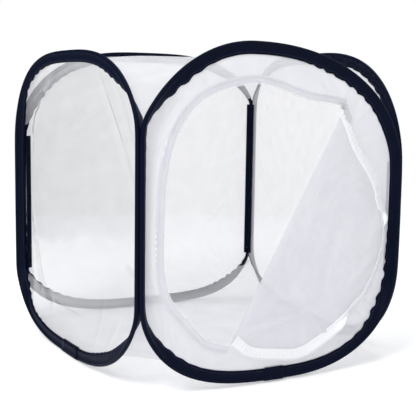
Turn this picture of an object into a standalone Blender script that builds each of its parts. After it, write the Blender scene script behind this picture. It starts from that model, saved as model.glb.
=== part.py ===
# Pop-up insect cage: a cloth box held open by four spring-wire rings, one round each upright side.
# Metres, +Z up, the door side faces -Y, and the origin lies on the ground under the middle of the cage.

import math

import bmesh
import bpy
from mathutils import Matrix, Vector

# The whole cage: the rings' height, and where its four upright corners stand in plan.
CAGE_HEIGHT = 0.400
FRONT_HALF_WIDTH = 0.177
BACK_LEFT_OUT = 0.199
BACK_RIGHT_OUT = 0.196
FRONT_DEPTH = 0.199
BACK_LEFT_DEPTH = 0.209
BACK_RIGHT_DEPTH = 0.204

# One clearance between solids that touch on the real thing, and how near points are made one.
CLEAR = 0.0003
MERGE_WITHIN = 0.00001

# Ring: spring wire, the crimped ferrule over its ends, and the binding tape folded round it.
WIRE_RADIUS = 0.0009
WIRE_END_GAP = 0.0006
FERRULE_BORE_RADIUS = 0.0012
FERRULE_RADIUS = 0.0015
FERRULE_LENGTH = 0.012
TAPE_WIDTH = 0.0135
BEAD_RADIUS = 0.0027
CAVITY_RADIUS = 0.00205
TAPE_PLY = 0.0008
TAPE_SLOT = 0.0006
TAPE_RELAX = 0.040
REST_FLAT = 0.0005
SEAM_BLEND = 0.0022
CORNER_SAMPLING = 0.060

# Cloth: the mesh and film sheets, the corner bindings inside.
SHEET = 0.0004
NOTCH_END = 0.0065
TOP_SAG = 0.003
BINDING_WING = 0.0075
BINDING_PLY = 0.0005
BINDING_INSET = 0.006
BINDING_BOW = 0.0014

# Door: its opening in the front sheet, as shares of the front's width and height, the zip along
# it, and the flap that folds to the lower right.
DOOR_WIDTH_SHARE = 0.664
DOOR_LEFT_SHARE = 0.415
DOOR_HEIGHT_SHARE = 0.7625
DOOR_FOOT_SHARE = 0.1275
ZIP_TAPE_WIDTH = 0.011
ZIP_TAPE_PLY = 0.0005
ZIP_TAPE_LAP = 0.006
COIL_WIDTH = 0.0016
COIL_DEPTH = 0.0013
FOLD_OFFSET = 0.0012
FOLD_SETBACK = 0.0014
FLAP_TOP_ROOM = 0.029
FLAP_ZIP_START_SHARE = 0.35
BILLOW_START = 0.100
BILLOW_END = 0.195
BILLOW_REACH = 0.056
BILLOW_DEPTH = 0.011

# Zip slider and its pull tab.
SLIDER_LENGTH = 0.0095
SLIDER_WIDTH = 0.0078
SLIDER_NOSE_WIDTH = 0.0052
SLIDER_PLATE = 0.0014
SLIDER_FROM_END = 0.004
BAIL_LENGTH = 0.0056
BAIL_RISE = 0.0019
BAIL_WIDTH = 0.0008
BAIL_WALL = 0.0007
TAB_LENGTH = 0.019
TAB_WIDTH = 0.0062
TAB_THICKNESS = 0.0010
TAB_EYE_WIDTH = 0.0034
TAB_EYE_RADIUS = 0.0014
TAB_EYE_WALL = 0.0005

# Counts of faces along and round the swept pieces.
RING_STATIONS = 40
ZIP_STATIONS = 30
FLAP_COLUMNS = 4
BINDING_ROWS = 8

# How far from its middle each row of a sheet lies, as shares, and how steeply it leaves its rim.
SHEET_ROW_SHARES = (1.0, 0.90, 0.78, 0.5)
FRONT_ROW_SHARES = (1.0, 0.66, 0.33, 0.0)
TAUT_POWER = 11

# Heights where each upright seam ends, as shares of the cage height.
SEAM_SHARES = {
    "front_left": (0.235, 0.765),
    "front_right": (0.290, 0.650),
    "back_right": (0.185, 0.810),
    "back_left": (0.190, 0.690),
}

# How square each ring's quarters are, as powers: 2 is an ellipse, and larger is squarer.
# The order is bottom right, top right, top left, bottom left, seen from outside the cage.
RING_POWERS = {
    "front": (2.8, 2.2, 2.75, 2.9),
    "right": (3.6, 4.2, 2.65, 3.0),
    "back": (3.3, 2.8, 3.2, 3.8),
    "left": (2.8, 2.9, 2.6, 3.4),
}

# The edge of the door opening, from the upper end of the fold line round to its lower end, as
# shares of the door's width and height.
DOOR_EDGE_SHARES = (
    (1.000, 0.902),
    (0.894, 0.915),
    (0.774, 0.938),
    (0.591, 0.987),
    (0.451, 1.000),
    (0.268, 0.961),
    (0.145, 0.892),
    (0.055, 0.787),
    (0.013, 0.659),
    (0.000, 0.505),
    (0.000, 0.325),
    (0.034, 0.210),
    (0.123, 0.121),
    (0.234, 0.033),
    (0.353, 0.000),
)

# Where each ring's wire ends meet, as a share of its half width from its middle, along the ground.
FERRULE_SHARES = {"front": 0.16, "right": -0.10, "back": 0.12, "left": -0.40}

SIDE_CORNERS = {
    "front": ("front_left", "front_right"),
    "right": ("front_right", "back_right"),
    "back": ("back_right", "back_left"),
    "left": ("back_left", "front_left"),
}

CORNER_PLAN = {
    "front_left": Vector((-FRONT_HALF_WIDTH, -FRONT_DEPTH, 0)),
    "front_right": Vector((FRONT_HALF_WIDTH, -FRONT_DEPTH, 0)),
    "back_right": Vector((BACK_RIGHT_OUT, BACK_RIGHT_DEPTH, 0)),
    "back_left": Vector((-BACK_LEFT_OUT, BACK_LEFT_DEPTH, 0)),
}

UP = Vector((0, 0, 1))
FRONT = Vector((0, -1, 0))
TAB_HANG = Vector((0.47, 0, -0.88)).normalized()


def start_scene():
    for old in list(bpy.data.objects):
        bpy.data.objects.remove(old)
    cage = bpy.data.collections.new("insect_cage")
    bpy.context.scene.collection.children.link(cage)
    return cage


def material(name, colour, roughness, metallic=0.0, alpha=1.0):
    made = bpy.data.materials.new(name)
    made.use_nodes = True
    shader = made.node_tree.nodes["Principled BSDF"]
    shader.inputs["Base Color"].default_value = (*colour, 1.0)
    shader.inputs["Roughness"].default_value = roughness
    shader.inputs["Metallic"].default_value = metallic
    shader.inputs["Alpha"].default_value = alpha
    return made


CAGE = start_scene()
HELPERS = bpy.data.collections.new("cutters")
bpy.context.scene.collection.children.link(HELPERS)
FINISH = {
    "spring_steel": material("spring_steel", (0.45, 0.46, 0.48), 0.30, 1.0),
    "crimped_steel": material("crimped_steel", (0.55, 0.55, 0.56), 0.40, 1.0),
    "navy_binding": material("navy_binding", (0.007, 0.009, 0.025), 0.65),
    "white_mesh": material("white_mesh", (0.82, 0.83, 0.84), 0.80, 0.0, 0.7),
    "clear_film": material("clear_film", (0.90, 0.90, 0.91), 0.08, 0.0, 0.25),
    "zip_tape": material("zip_tape", (0.86, 0.86, 0.87), 0.70),
    "nylon_coil": material("nylon_coil", (0.80, 0.81, 0.82), 0.40),
    "painted_zinc": material("painted_zinc", (0.60, 0.61, 0.62), 0.35, 0.2),
}


def add_object(name, mesh, finish):
    made = bpy.data.objects.new(name, mesh)
    mesh.materials.append(FINISH[finish])
    CAGE.objects.link(made)
    return made


def mesh_from(name, shape, finish):
    """Turns a finished bmesh into an object, with its faces pointing out."""
    bmesh.ops.recalc_face_normals(shape, faces=shape.faces)
    mesh = bpy.data.meshes.new(name)
    shape.to_mesh(mesh)
    shape.free()
    return add_object(name, mesh, finish)


# Rings


def turn_left(direction):
    return Vector((-direction.y, direction.x, 0))


def along(side):
    start, end = SIDE_CORNERS[side]
    return (CORNER_PLAN[end] - CORNER_PLAN[start]).normalized()


def seam_offset(corner):
    """Half the step, in plan, between the two wires that meet at this corner."""
    meeting = [side for side, ends in SIDE_CORNERS.items() if corner in ends]
    across = (along(meeting[0]) + along(meeting[1])).normalized()
    return across * (BEAD_RADIUS + CLEAR / 2)


class Ring:
    """One upright ring: its plane, and its wire as points with the tape's lean at each."""

    def __init__(self, side):
        self.side = side
        self.start, self.end = SIDE_CORNERS[side]
        first = CORNER_PLAN[self.start] + seam_offset(self.start)
        last = CORNER_PLAN[self.end] - seam_offset(self.end)
        self.middle = (first + last) / 2
        self.half_width = (last - first).length / 2
        self.across = (last - first).normalized()
        self.inward = turn_left(self.across)
        self.centre_height = (CAGE_HEIGHT - REST_FLAT) / 2
        self.half_height = (CAGE_HEIGHT + REST_FLAT) / 2 - BEAD_RADIUS
        self.stations = self.find_stations()

    def seam_heights(self, sign):
        low, high = SEAM_SHARES[self.end if sign > 0 else self.start]
        return low * CAGE_HEIGHT, high * CAGE_HEIGHT

    def lean_at_seam(self, sign):
        """The tape's lean out of the ring's plane where it lies against its neighbour's tape."""
        corner = self.end if sign > 0 else self.start
        other = next(s for s, ends in SIDE_CORNERS.items() if corner in ends and s != self.side)
        inside = -sign * self.across
        neighbour_inside = along(other) if SIDE_CORNERS[other][0] == corner else -along(other)
        diagonal = (inside + neighbour_inside).normalized()
        closing = BEAD_RADIUS - TAPE_SLOT / 2 - TAPE_PLY
        return inside.angle(diagonal) + math.asin(closing / (TAPE_WIDTH - BEAD_RADIUS))

    def outline_point(self, turn):
        """A point of the wire at this angle, measured from straight down towards the ring's end."""
        sideways = math.sin(turn)
        upward = -math.cos(turn)
        sign = 1 if sideways >= 0 else -1
        quarter = {(1, False): 0, (1, True): 1, (-1, True): 2, (-1, False): 3}[sign, upward > 0]
        power = RING_POWERS[self.side][quarter]
        seam_height = self.seam_heights(sign)[1 if upward > 0 else 0]
        rise = abs(seam_height - self.centre_height) / self.half_height
        reach = self.half_width / (1 - rise**power) ** (1 / power)
        width = reach * abs(sideways) ** (2 / power)
        height = self.half_height * abs(upward) ** (2 / power) * (1 if upward > 0 else -1)
        # The sewn seam holds the wire straight, so the curve is cut off there, softly.
        over = (width - self.half_width) / SEAM_BLEND
        if over < -30:
            kept = width
        else:
            kept = self.half_width - SEAM_BLEND * math.log(1 + math.exp(-over))
        return Vector((sign * kept, 0, self.centre_height + height))

    def find_stations(self):
        fine = [self.outline_point(math.tau * i / 1440) for i in range(1440)]
        count = len(fine)
        cost = [0.0]
        for i in range(count):
            before = fine[i] - fine[i - 1]
            after = fine[(i + 1) % count] - fine[i]
            cost.append(cost[-1] + after.length + CORNER_SAMPLING * before.angle(after))
        stations = []
        for k in range(RING_STATIONS):
            wanted = cost[-1] * k / RING_STATIONS
            i = max(j for j in range(count) if cost[j] <= wanted)
            share = (wanted - cost[i]) / (cost[i + 1] - cost[i])
            here = fine[i].lerp(fine[(i + 1) % count], share)
            tangent = (fine[(i + 4) % count] - fine[i - 3]).normalized()
            stations.append(self.station(here, tangent))
        return stations

    def station(self, flat, tangent):
        """(wire point, direction of the tape's legs, direction across them, flat point)."""
        sign = 1 if flat.x >= 0 else -1
        low, high = self.seam_heights(sign)
        nearest = min(max(flat.z, low), high)
        away = math.hypot(self.half_width - abs(flat.x), flat.z - nearest)
        if low <= flat.z <= high:
            away = 0
        ease = min(away / TAPE_RELAX, 1)
        lean = self.lean_at_seam(sign) * (1 - ease * ease * (3 - 2 * ease))
        normal = -tangent.z * self.across + tangent.x * UP
        wire = self.place(flat)
        legs = math.cos(lean) * normal + math.sin(lean) * self.inward
        side = math.cos(lean) * self.inward - math.sin(lean) * normal
        return wire, legs, side, flat

    def place(self, flat):
        return self.middle + self.across * flat.x + UP * flat.z


def sweep(name, frames, section, finish, closed, ground=False, caps=None):
    """Carries a flat section along frames of (point, first axis, second axis), with caps if open.

    caps are lists of the section's points that make up an end, where the section is hollow-backed."""
    shape = bmesh.new()
    rows = []
    for point, first, second in frames:
        row = [point + first * a + second * b for a, b in section]
        if ground:
            row = [Vector((p.x, p.y, max(p.z, 0))) for p in row]
        rows.append([shape.verts.new(p) for p in row])
    pairs = list(zip(rows, rows[1:]))
    if closed:
        pairs.append((rows[-1], rows[0]))
    for near, far in pairs:
        for i in range(len(section)):
            j = (i + 1) % len(section)
            shape.faces.new((near[i], near[j], far[j], far[i]))
    if not closed:
        for cap in caps or [range(len(section))]:
            shape.faces.new([rows[0][i] for i in cap][::-1])
            shape.faces.new([rows[-1][i] for i in cap])
    bmesh.ops.triangulate(shape, faces=shape.faces)
    return mesh_from(name, shape, finish)


def tape_section():
    """The folded tape cut across: two legs, the bead round the wire, and the wire's cavity."""
    leg = TAPE_WIDTH - BEAD_RADIUS
    half = TAPE_SLOT / 2 + TAPE_PLY
    outer_turn = math.asin(half / BEAD_RADIUS)
    inner_turn = math.asin(TAPE_SLOT / 2 / CAVITY_RADIUS)
    outer = [(leg, half)]
    for step in range(8):
        turn = outer_turn + (math.tau - 2 * outer_turn) * step / 7
        outer.append((BEAD_RADIUS * math.cos(turn), BEAD_RADIUS * math.sin(turn)))
    outer.append((leg, -half))
    inner = [(leg, -TAPE_SLOT / 2)]
    for step in range(6):
        turn = math.tau - inner_turn - (math.tau - 2 * inner_turn) * step / 5
        inner.append((CAVITY_RADIUS * math.cos(turn), CAVITY_RADIUS * math.sin(turn)))
    inner.append((leg, TAPE_SLOT / 2))
    return outer + inner


def make_tape(ring):
    frames = [(wire, legs, side) for wire, legs, side, _ in ring.stations]
    sweep("loop_tape_" + ring.side, frames, tape_section(), "navy_binding", True, ground=True)


def ferrule_place(ring):
    """The straight stretch of wire that takes the ferrule: its middle point, and its direction."""
    offset = FERRULE_SHARES[ring.side] * ring.half_width
    lowest = [s for s in ring.stations if s[3].z < ring.centre_height]
    lowest.sort(key=lambda s: s[3].x)
    near, far = min(
        zip(lowest, lowest[1:]), key=lambda pair: abs((pair[0][3].x + pair[1][3].x) / 2 - offset)
    )
    return (near[0] + far[0]) / 2, (far[0] - near[0]).normalized()


def make_wire(ring):
    """A poly curve from one side of the joint right round to the other."""
    middle, direction = ferrule_place(ring)
    points = [wire for wire, _, _, _ in ring.stations]
    nearest = min(range(len(points)), key=lambda i: (points[i] - middle).length)
    route = points[nearest:] + points[:nearest]
    half = FERRULE_LENGTH / 2
    route = [p for p in route if (p - middle).length > half]
    first = route[0]
    if (first - middle).dot(direction) < 0:
        route = route[1:] + route[:1]
    route = [middle + direction * WIRE_END_GAP / 2, middle + direction * half, *route]
    route += [middle - direction * half, middle - direction * WIRE_END_GAP / 2]
    curve = bpy.data.curves.new("wire_loop_" + ring.side, "CURVE")
    curve.dimensions = "3D"
    curve.bevel_depth = WIRE_RADIUS
    curve.bevel_resolution = 1
    curve.use_fill_caps = True
    spline = curve.splines.new("POLY")
    spline.points.add(len(route) - 1)
    for point, place in zip(spline.points, route):
        point.co = (*place, 1)
    add_object("wire_loop_" + ring.side, curve, "spring_steel")


def turned_sleeve(name, bore_radius, radius, length, finish):
    """A sleeve round its own Z axis: its half section, screwed once round."""
    shape = bmesh.new()
    half = length / 2
    corners = [(radius, half), (radius, -half), (bore_radius, -half), (bore_radius, half)]
    verts = [shape.verts.new((across, 0, height)) for across, height in corners]
    for i in range(4):
        shape.edges.new((verts[i], verts[(i + 1) % 4]))
    mesh = bpy.data.meshes.new(name)
    shape.to_mesh(mesh)
    shape.free()
    made = add_object(name, mesh, finish)
    turn = made.modifiers.new("turn", "SCREW")
    turn.steps = 12
    turn.render_steps = 12
    turn.use_merge_vertices = True
    turn.merge_threshold = MERGE_WITHIN
    return made


def make_ferrule(ring):
    """The crimped sleeve over the two wire ends."""
    middle, direction = ferrule_place(ring)
    name = "wire_ferrule_" + ring.side
    made = turned_sleeve(name, FERRULE_BORE_RADIUS, FERRULE_RADIUS, FERRULE_LENGTH, "crimped_steel")
    turn = direction.to_track_quat("Z", "Y").to_matrix().to_4x4()
    made.matrix_world = Matrix.Translation(middle) @ turn


# Sheets


def taut_sheet(name, rim, inner, lift, power, finish):
    """A taut sheet from its rim to a hole's edge or to one middle point.

    Along the lift axis it leaves the rim steeply and levels out, as cloth does that is pulled
    tight between the rings but drawn in at their corners."""
    shape = bmesh.new()
    hole = isinstance(inner, list)
    rows = []
    for share in FRONT_ROW_SHARES if hole else SHEET_ROW_SHARES:
        row = []
        for i, point in enumerate(rim):
            target = inner[i] if hole else inner
            step = point - target
            rise = lift * step.dot(lift)
            row.append(shape.verts.new(target + (step - rise) * share + rise * share**power))
        rows.append(row)
    count = len(rim)
    for near, far in zip(rows, rows[1:]):
        for i in range(count):
            j = (i + 1) % count
            shape.faces.new((near[i], near[j], far[j], far[i]))
    if not hole:
        tip = shape.verts.new(inner)
        for i in range(count):
            shape.faces.new((rows[-1][i], rows[-1][(i + 1) % count], tip))
    bmesh.ops.triangulate(shape, faces=shape.faces)
    made = mesh_from(name, shape, finish)
    thicken(made, SHEET)


def thicken(made, thickness):
    wall = made.modifiers.new("wall", "SOLIDIFY")
    wall.thickness = thickness
    wall.offset = 0


def panel_rim(ring):
    """The sheet's edge, a clearance off the mouth of the tape."""
    reach = TAPE_WIDTH - BEAD_RADIUS + CLEAR
    return [wire + legs * reach for wire, legs, _, _ in ring.stations]


def cap_rim(rings, top):
    """The edge of the top or floor sheet: along the beads' inner flanks, down into each notch."""
    rim = []
    step = BEAD_RADIUS + CLEAR + SHEET / 2
    for ring in rings:
        arc = []
        for wire, _, _, flat in ring.stations:
            sign = 1 if flat.x >= 0 else -1
            low, high = ring.seam_heights(sign)
            beyond = flat.z > high if top else flat.z < low
            if beyond and abs(flat.x) < ring.half_width - NOTCH_END:
                arc.append((flat.x, wire + ring.inward * step))
        arc.sort(key=lambda item: item[0])
        rim += [point for _, point in arc]
    return rim


def binding_frames(corner, rings):
    """The inner corner binding's two wing planes meet on an upright line: its foot, and its wings."""
    ending = next(r for r in rings if r.end == corner)
    starting = next(r for r in rings if r.start == corner)
    lean = starting.lean_at_seam(-1)
    depth = (TAPE_WIDTH - BEAD_RADIUS + CLEAR) * math.sin(lean) + SHEET / 2 + CLEAR
    foot_a = ending.middle + ending.inward * depth
    foot_b = starting.middle + starting.inward * depth
    gap = foot_b - foot_a
    cross = ending.across.x * starting.across.y - ending.across.y * starting.across.x
    share = (gap.x * starting.across.y - gap.y * starting.across.x) / cross
    return foot_a + ending.across * share, -ending.across, starting.across


def make_binding(corner, rings):
    foot, wing_a, wing_b = binding_frames(corner, rings)
    low, high = (share * CAGE_HEIGHT for share in SEAM_SHARES[corner])
    inside = (wing_a + wing_b).normalized()
    ply = inside * BINDING_PLY / math.sin(wing_a.angle(wing_b) / 2)
    outline = [
        foot,
        foot + wing_b * BINDING_WING,
        foot + wing_b * BINDING_WING + ply,
        foot + ply,
        foot + wing_a * BINDING_WING + ply,
        foot + wing_a * BINDING_WING,
    ]
    section = [(p.x, p.y) for p in outline]
    east, north = Vector((1, 0, 0)), Vector((0, 1, 0))
    start, run = low + BINDING_INSET, high - low - 2 * BINDING_INSET
    frames = []
    for k in range(BINDING_ROWS + 1):
        share = k / BINDING_ROWS
        # The seam holds the binding at its ends, and the cloth's pull bows it inwards between them.
        bow = inside * BINDING_BOW * 4 * share * (1 - share)
        frames.append((UP * (start + run * share) + bow, east, north))
    wings = ((0, 1, 2, 3), (0, 3, 4, 5))
    sweep("corner_binding_" + corner, frames, section, "navy_binding", False, caps=wings)


# Door


class Door:
    """The door's opening in the front ring's plane, its zip path and its fold line."""

    def __init__(self, ring):
        self.depth = ring.middle.y
        points = [
            Vector(
                (
                    (u * DOOR_WIDTH_SHARE - DOOR_LEFT_SHARE) * 2 * FRONT_HALF_WIDTH,
                    0,
                    (v * DOOR_HEIGHT_SHARE + DOOR_FOOT_SHARE) * CAGE_HEIGHT,
                )
            )
            for u, v in DOOR_EDGE_SHARES
        ]
        self.upper = points[0]
        self.lower = points[-1]
        self.fold = (self.lower - self.upper).normalized()
        self.path = self.smooth(points)

    def smooth(self, points):
        """Even stations on a Catmull-Rom curve, as (point, outward direction)."""
        ends = [points[0] * 2 - points[1], *points, points[-1] * 2 - points[-2]]
        fine = []
        for a, b, c, d in zip(ends, ends[1:], ends[2:], ends[3:]):
            for i in range(24):
                t = i / 24
                fine.append(
                    (b * 2 + (c - a) * t + (a * 2 - b * 5 + c * 4 - d) * t * t
                     + (b * 3 - a - c * 3 + d) * t * t * t) / 2
                )
        fine.append(points[-1])
        length = [0.0]
        for near, far in zip(fine, fine[1:]):
            length.append(length[-1] + (far - near).length)
        self.length = length[-1]
        stations = []
        for k in range(ZIP_STATIONS + 1):
            wanted = length[-1] * k / ZIP_STATIONS
            i = min(max(j for j in range(len(fine)) if length[j] <= wanted), len(fine) - 2)
            here = fine[i].lerp(fine[i + 1], (wanted - length[i]) / (length[i + 1] - length[i]))
            run = (fine[min(i + 5, len(fine) - 1)] - fine[max(i - 4, 0)]).normalized()
            stations.append((here, Vector((run.z, 0, -run.x))))
        return stations

    def place(self, flat, forward=0.0):
        """A point of the door's plane, moved towards the front."""
        return Vector((flat.x, self.depth - forward, flat.z))

    def hinge(self):
        """A point on the fold's axis, in front of the sheet."""
        return self.place(self.upper, FOLD_OFFSET)

    def open_turn(self):
        """Folds a piece modelled in the closed door over to the lower right."""
        axis = self.hinge()
        turn = Matrix.Rotation(math.pi, 4, self.fold)
        return Matrix.Translation(axis) @ turn @ Matrix.Translation(-axis)


def make_strip(name, door, path, near, far, forward, depth, finish):
    """A flat strip along a stretch of the zip path, from near to far off it, outward positive."""
    frames = []
    for here, outward in path:
        frames.append((door.place(here, forward), outward, Vector((0, 1, 0))))
    section = [(near, -depth / 2), (far, -depth / 2), (far, depth / 2), (near, depth / 2)]
    return sweep(name, frames, section, finish, False)


def path_offset(door, distance):
    """The zip path moved outward by a distance, or inward where it is negative."""
    return [here + outward * distance for here, outward in door.path]


def ray_hit(outline, centre, direction):
    """Where a ray from the centre crosses a closed outline seen from the front."""
    best = None
    for near, far in zip(outline, outline[1:] + outline[:1]):
        edge = far - near
        cross = direction.x * edge.z - direction.z * edge.x
        if abs(cross) == 0:
            continue
        gap = near - centre
        reach = (gap.x * edge.z - gap.z * edge.x) / cross
        share = (gap.x * direction.z - gap.z * direction.x) / cross
        if reach > 0 and 0 <= share <= 1 and (best is None or reach > best[0]):
            best = (reach, near.lerp(far, share))
    return best[1]


def make_front_panel(ring, door):
    """The front mesh between the ring and the door's opening, laid out along rays from the door."""
    right = Vector((-door.fold.z, 0, door.fold.x))
    arc = path_offset(door, ZIP_TAPE_WIDTH - ZIP_TAPE_LAP)
    fold_edge = [door.lower + right * FOLD_SETBACK, door.upper + right * FOLD_SETBACK]
    opening = [door.place(p) for p in arc + fold_edge]
    centre = door.place(sum((here for here, _ in door.path), Vector()) / len(door.path))
    rim = panel_rim(ring)
    targets = rim + [opening[0], opening[-1], opening[-2], opening[-3]]
    directions = [Vector((p.x - centre.x, 0, p.z - centre.z)) for p in targets]
    directions.sort(key=lambda d: math.atan2(d.z, d.x))
    outer = [ray_hit(rim, centre, d) for d in directions]
    inner = [ray_hit(opening, centre, d) for d in directions]
    taut_sheet("front_panel", outer, inner, ring.inward, 1, "white_mesh")


def make_flap(door):
    """The flap's sheet: rows from the fold line out to the zip tape and under it, as it lies shut."""
    left = Vector((door.fold.z, 0, -door.fold.x))
    under_tape = path_offset(door, -ZIP_TAPE_WIDTH)
    edge = path_offset(door, ZIP_TAPE_LAP - ZIP_TAPE_WIDTH)
    fold_length = (door.lower - door.upper).length
    shape = bmesh.new()
    rows = []
    for k in range(1, ZIP_STATIONS):
        share = (k - 1) / (ZIP_STATIONS - 2)
        run = FLAP_TOP_ROOM + (fold_length - FLAP_TOP_ROOM - ZIP_TAPE_WIDTH) * share
        base = door.upper + door.fold * run + left * CLEAR
        row = [base.lerp(under_tape[k], i / FLAP_COLUMNS) for i in range(FLAP_COLUMNS + 1)]
        rows.append([shape.verts.new(door.place(p)) for p in [*row, edge[k]]])
    for near, far in zip(rows, rows[1:]):
        for i in range(FLAP_COLUMNS + 1):
            shape.faces.new((near[i], near[i + 1], far[i + 1], far[i]))
    bmesh.ops.triangulate(shape, faces=shape.faces)
    made = mesh_from("door_flap", shape, "white_mesh")
    thicken(made, SHEET)
    return made


def fold_open(made, door):
    """Turns a flap piece over its fold line, then lets its far end billow against the ring."""
    mesh = bpy.data.meshes.new_from_object(made.evaluated_get(bpy.context.evaluated_depsgraph_get()))
    mesh.transform(door.open_turn())
    span = BILLOW_END - BILLOW_START
    for vert in mesh.vertices:
        share = (vert.co.x - BILLOW_START) / span
        if share > 0:
            vert.co.x = BILLOW_START + share * BILLOW_REACH
            vert.co.y -= BILLOW_DEPTH * math.sin(min(share, 1) * math.pi) ** 2
    made.modifiers.clear()
    made.data = mesh


def make_zip(door):
    gap = CLEAR / 2
    forward = SHEET / 2 + CLEAR + ZIP_TAPE_PLY / 2
    tape_from = gap + COIL_WIDTH + CLEAR
    whole = door.path
    coil_far, tape_far = gap + COIL_WIDTH, ZIP_TAPE_WIDTH
    make_strip("zip_coil_fixed", door, whole, gap, coil_far, forward, COIL_DEPTH, "nylon_coil")
    make_strip(
        "zip_tape_fixed", door, whole, tape_from, tape_far, forward, ZIP_TAPE_PLY, "zip_tape"
    )
    # The flap's half stops short of both ends, so that it clears the slider's tab and the fold.
    (near, near_out), (far, far_out) = door.path[1:3]
    start_out = near_out.lerp(far_out, FLAP_ZIP_START_SHARE).normalized()
    moving = [(near.lerp(far, FLAP_ZIP_START_SHARE), start_out), *door.path[2:-1]]
    coil = make_strip(
        "zip_coil_flap", door, moving, -coil_far, -gap, forward, COIL_DEPTH, "nylon_coil"
    )
    tape = make_strip(
        "zip_tape_flap", door, moving, -tape_far, -tape_from, forward, ZIP_TAPE_PLY, "zip_tape"
    )
    fold_open(coil, door)
    fold_open(tape, door)


def plate(name, outline, near, far, finish):
    """A flat plate: its outline, and its thickness from near to far along its own +Z."""
    shape = bmesh.new()
    bottom = [shape.verts.new((x, y, near)) for x, y in outline]
    face = shape.faces.new(bottom)
    made = bmesh.ops.extrude_face_region(shape, geom=[face])
    moved = [item for item in made["geom"] if isinstance(item, bmesh.types.BMVert)]
    bmesh.ops.translate(shape, verts=moved, vec=(0, 0, far - near))
    return mesh_from(name, shape, finish)


def as_helper(made):
    """Keeps a piece for a Boolean only."""
    CAGE.objects.unlink(made)
    HELPERS.objects.link(made)
    made.hide_render = True
    made.display_type = "WIRE"
    return made


def join(made, helper, name):
    union = made.modifiers.new(name, "BOOLEAN")
    union.operation = "UNION"
    union.object = as_helper(helper)


def placed_basis(first, second, third, place):
    basis = Matrix((first, second, third)).transposed().to_4x4()
    basis.translation = place
    return basis


def make_slider(door):
    """The slider's front plate, a clearance in front of the coil, with the bail for its tab."""
    coil_front = SHEET / 2 + CLEAR + ZIP_TAPE_PLY / 2 + COIL_DEPTH / 2
    share = SLIDER_FROM_END / door.length * ZIP_STATIONS
    index = int(share)
    near, far = door.path[index][0], door.path[index + 1][0]
    run = (far - near).normalized()
    here = near.lerp(far, share - index)
    half = SLIDER_LENGTH / 2
    outline = [
        (-half, -SLIDER_WIDTH / 2),
        (half, -SLIDER_NOSE_WIDTH / 2),
        (half, SLIDER_NOSE_WIDTH / 2),
        (-half, SLIDER_WIDTH / 2),
    ]
    body = plate("zip_slider", outline, 0, SLIDER_PLATE, "painted_zinc")
    foot = door.place(here, coil_front + CLEAR)
    body.matrix_world = placed_basis(run, FRONT.cross(run), FRONT, foot)
    rounded = body.modifiers.new("edges", "BEVEL")
    rounded.width = SLIDER_PLATE / 4
    rounded.segments = 1
    bar = foot + FRONT * (SLIDER_PLATE + BAIL_RISE)
    top = BAIL_WALL / 2
    inside = BAIL_LENGTH / 2 - BAIL_WALL
    sunk = -BAIL_RISE - SLIDER_PLATE / 2
    arch = [
        (-BAIL_LENGTH / 2, sunk),
        (-inside, sunk),
        (-inside, -top),
        (inside, -top),
        (inside, sunk),
        (BAIL_LENGTH / 2, sunk),
        (BAIL_LENGTH / 2, top),
        (-BAIL_LENGTH / 2, top),
    ]
    bail = plate("bail", arch, -BAIL_WIDTH / 2, BAIL_WIDTH / 2, "painted_zinc")
    pin = FRONT.cross(TAB_HANG)
    bail.matrix_world = placed_basis(pin, FRONT, pin.cross(FRONT), bar)
    join(body, bail, "bail")
    return bar


def make_tab(bar):
    """The pull tab: a knuckle round the bail's bar, a neck between the bail's legs, and a blade."""
    pin = FRONT.cross(TAB_HANG)
    neck = TAB_EYE_WIDTH / 2
    shoulder = BAIL_WIDTH / 2 + 2 * CLEAR
    root = TAB_EYE_RADIUS - TAB_EYE_WALL / 2
    outline = [
        (root, -neck),
        (shoulder + TAB_EYE_WALL, -neck),
        (shoulder + TAB_WIDTH / 4, -TAB_WIDTH / 2),
        (TAB_LENGTH, -TAB_WIDTH / 2),
        (TAB_LENGTH, TAB_WIDTH / 2),
        (shoulder + TAB_WIDTH / 4, TAB_WIDTH / 2),
        (shoulder + TAB_EYE_WALL, neck),
        (root, neck),
    ]
    tab = plate("pull_tab", outline, -TAB_THICKNESS / 2, TAB_THICKNESS / 2, "painted_zinc")
    tab.matrix_world = placed_basis(TAB_HANG, pin, FRONT, bar)
    bore = TAB_EYE_RADIUS - TAB_EYE_WALL
    knuckle = turned_sleeve("knuckle", bore, TAB_EYE_RADIUS, TAB_EYE_WIDTH, "painted_zinc")
    knuckle.matrix_world = placed_basis(FRONT, TAB_HANG, FRONT.cross(TAB_HANG), bar)
    join(tab, knuckle, "knuckle")


def main():
    rings = [Ring(side) for side in SIDE_CORNERS]
    for ring in rings:
        make_tape(ring)
        make_wire(ring)
        make_ferrule(ring)
    door = Door(rings[0])
    make_front_panel(rings[0], door)
    middle = UP * CAGE_HEIGHT / 2
    for ring, name, finish in zip(
        rings[1:],
        ("right_panel", "back_panel", "left_window"),
        ("white_mesh", "white_mesh", "clear_film"),
    ):
        taut_sheet(name, panel_rim(ring), ring.middle + middle, ring.inward, TAUT_POWER, finish)
    top_middle = UP * (CAGE_HEIGHT - BEAD_RADIUS - TOP_SAG)
    taut_sheet("top_panel", cap_rim(rings, True), top_middle, UP, TAUT_POWER, "white_mesh")
    floor_middle = UP * (SHEET / 2 + CLEAR)
    taut_sheet("floor_panel", cap_rim(rings, False), floor_middle, UP, TAUT_POWER, "white_mesh")
    for corner in CORNER_PLAN:
        make_binding(corner, rings)
    make_zip(door)
    fold_open(make_flap(door), door)
    bar = make_slider(door)
    make_tab(bar)
    print("fold axis at", door.hinge(), "along", door.fold)
    print("tab pivot at", bar, "along", TAB_HANG.cross(FRONT))


main()
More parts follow.
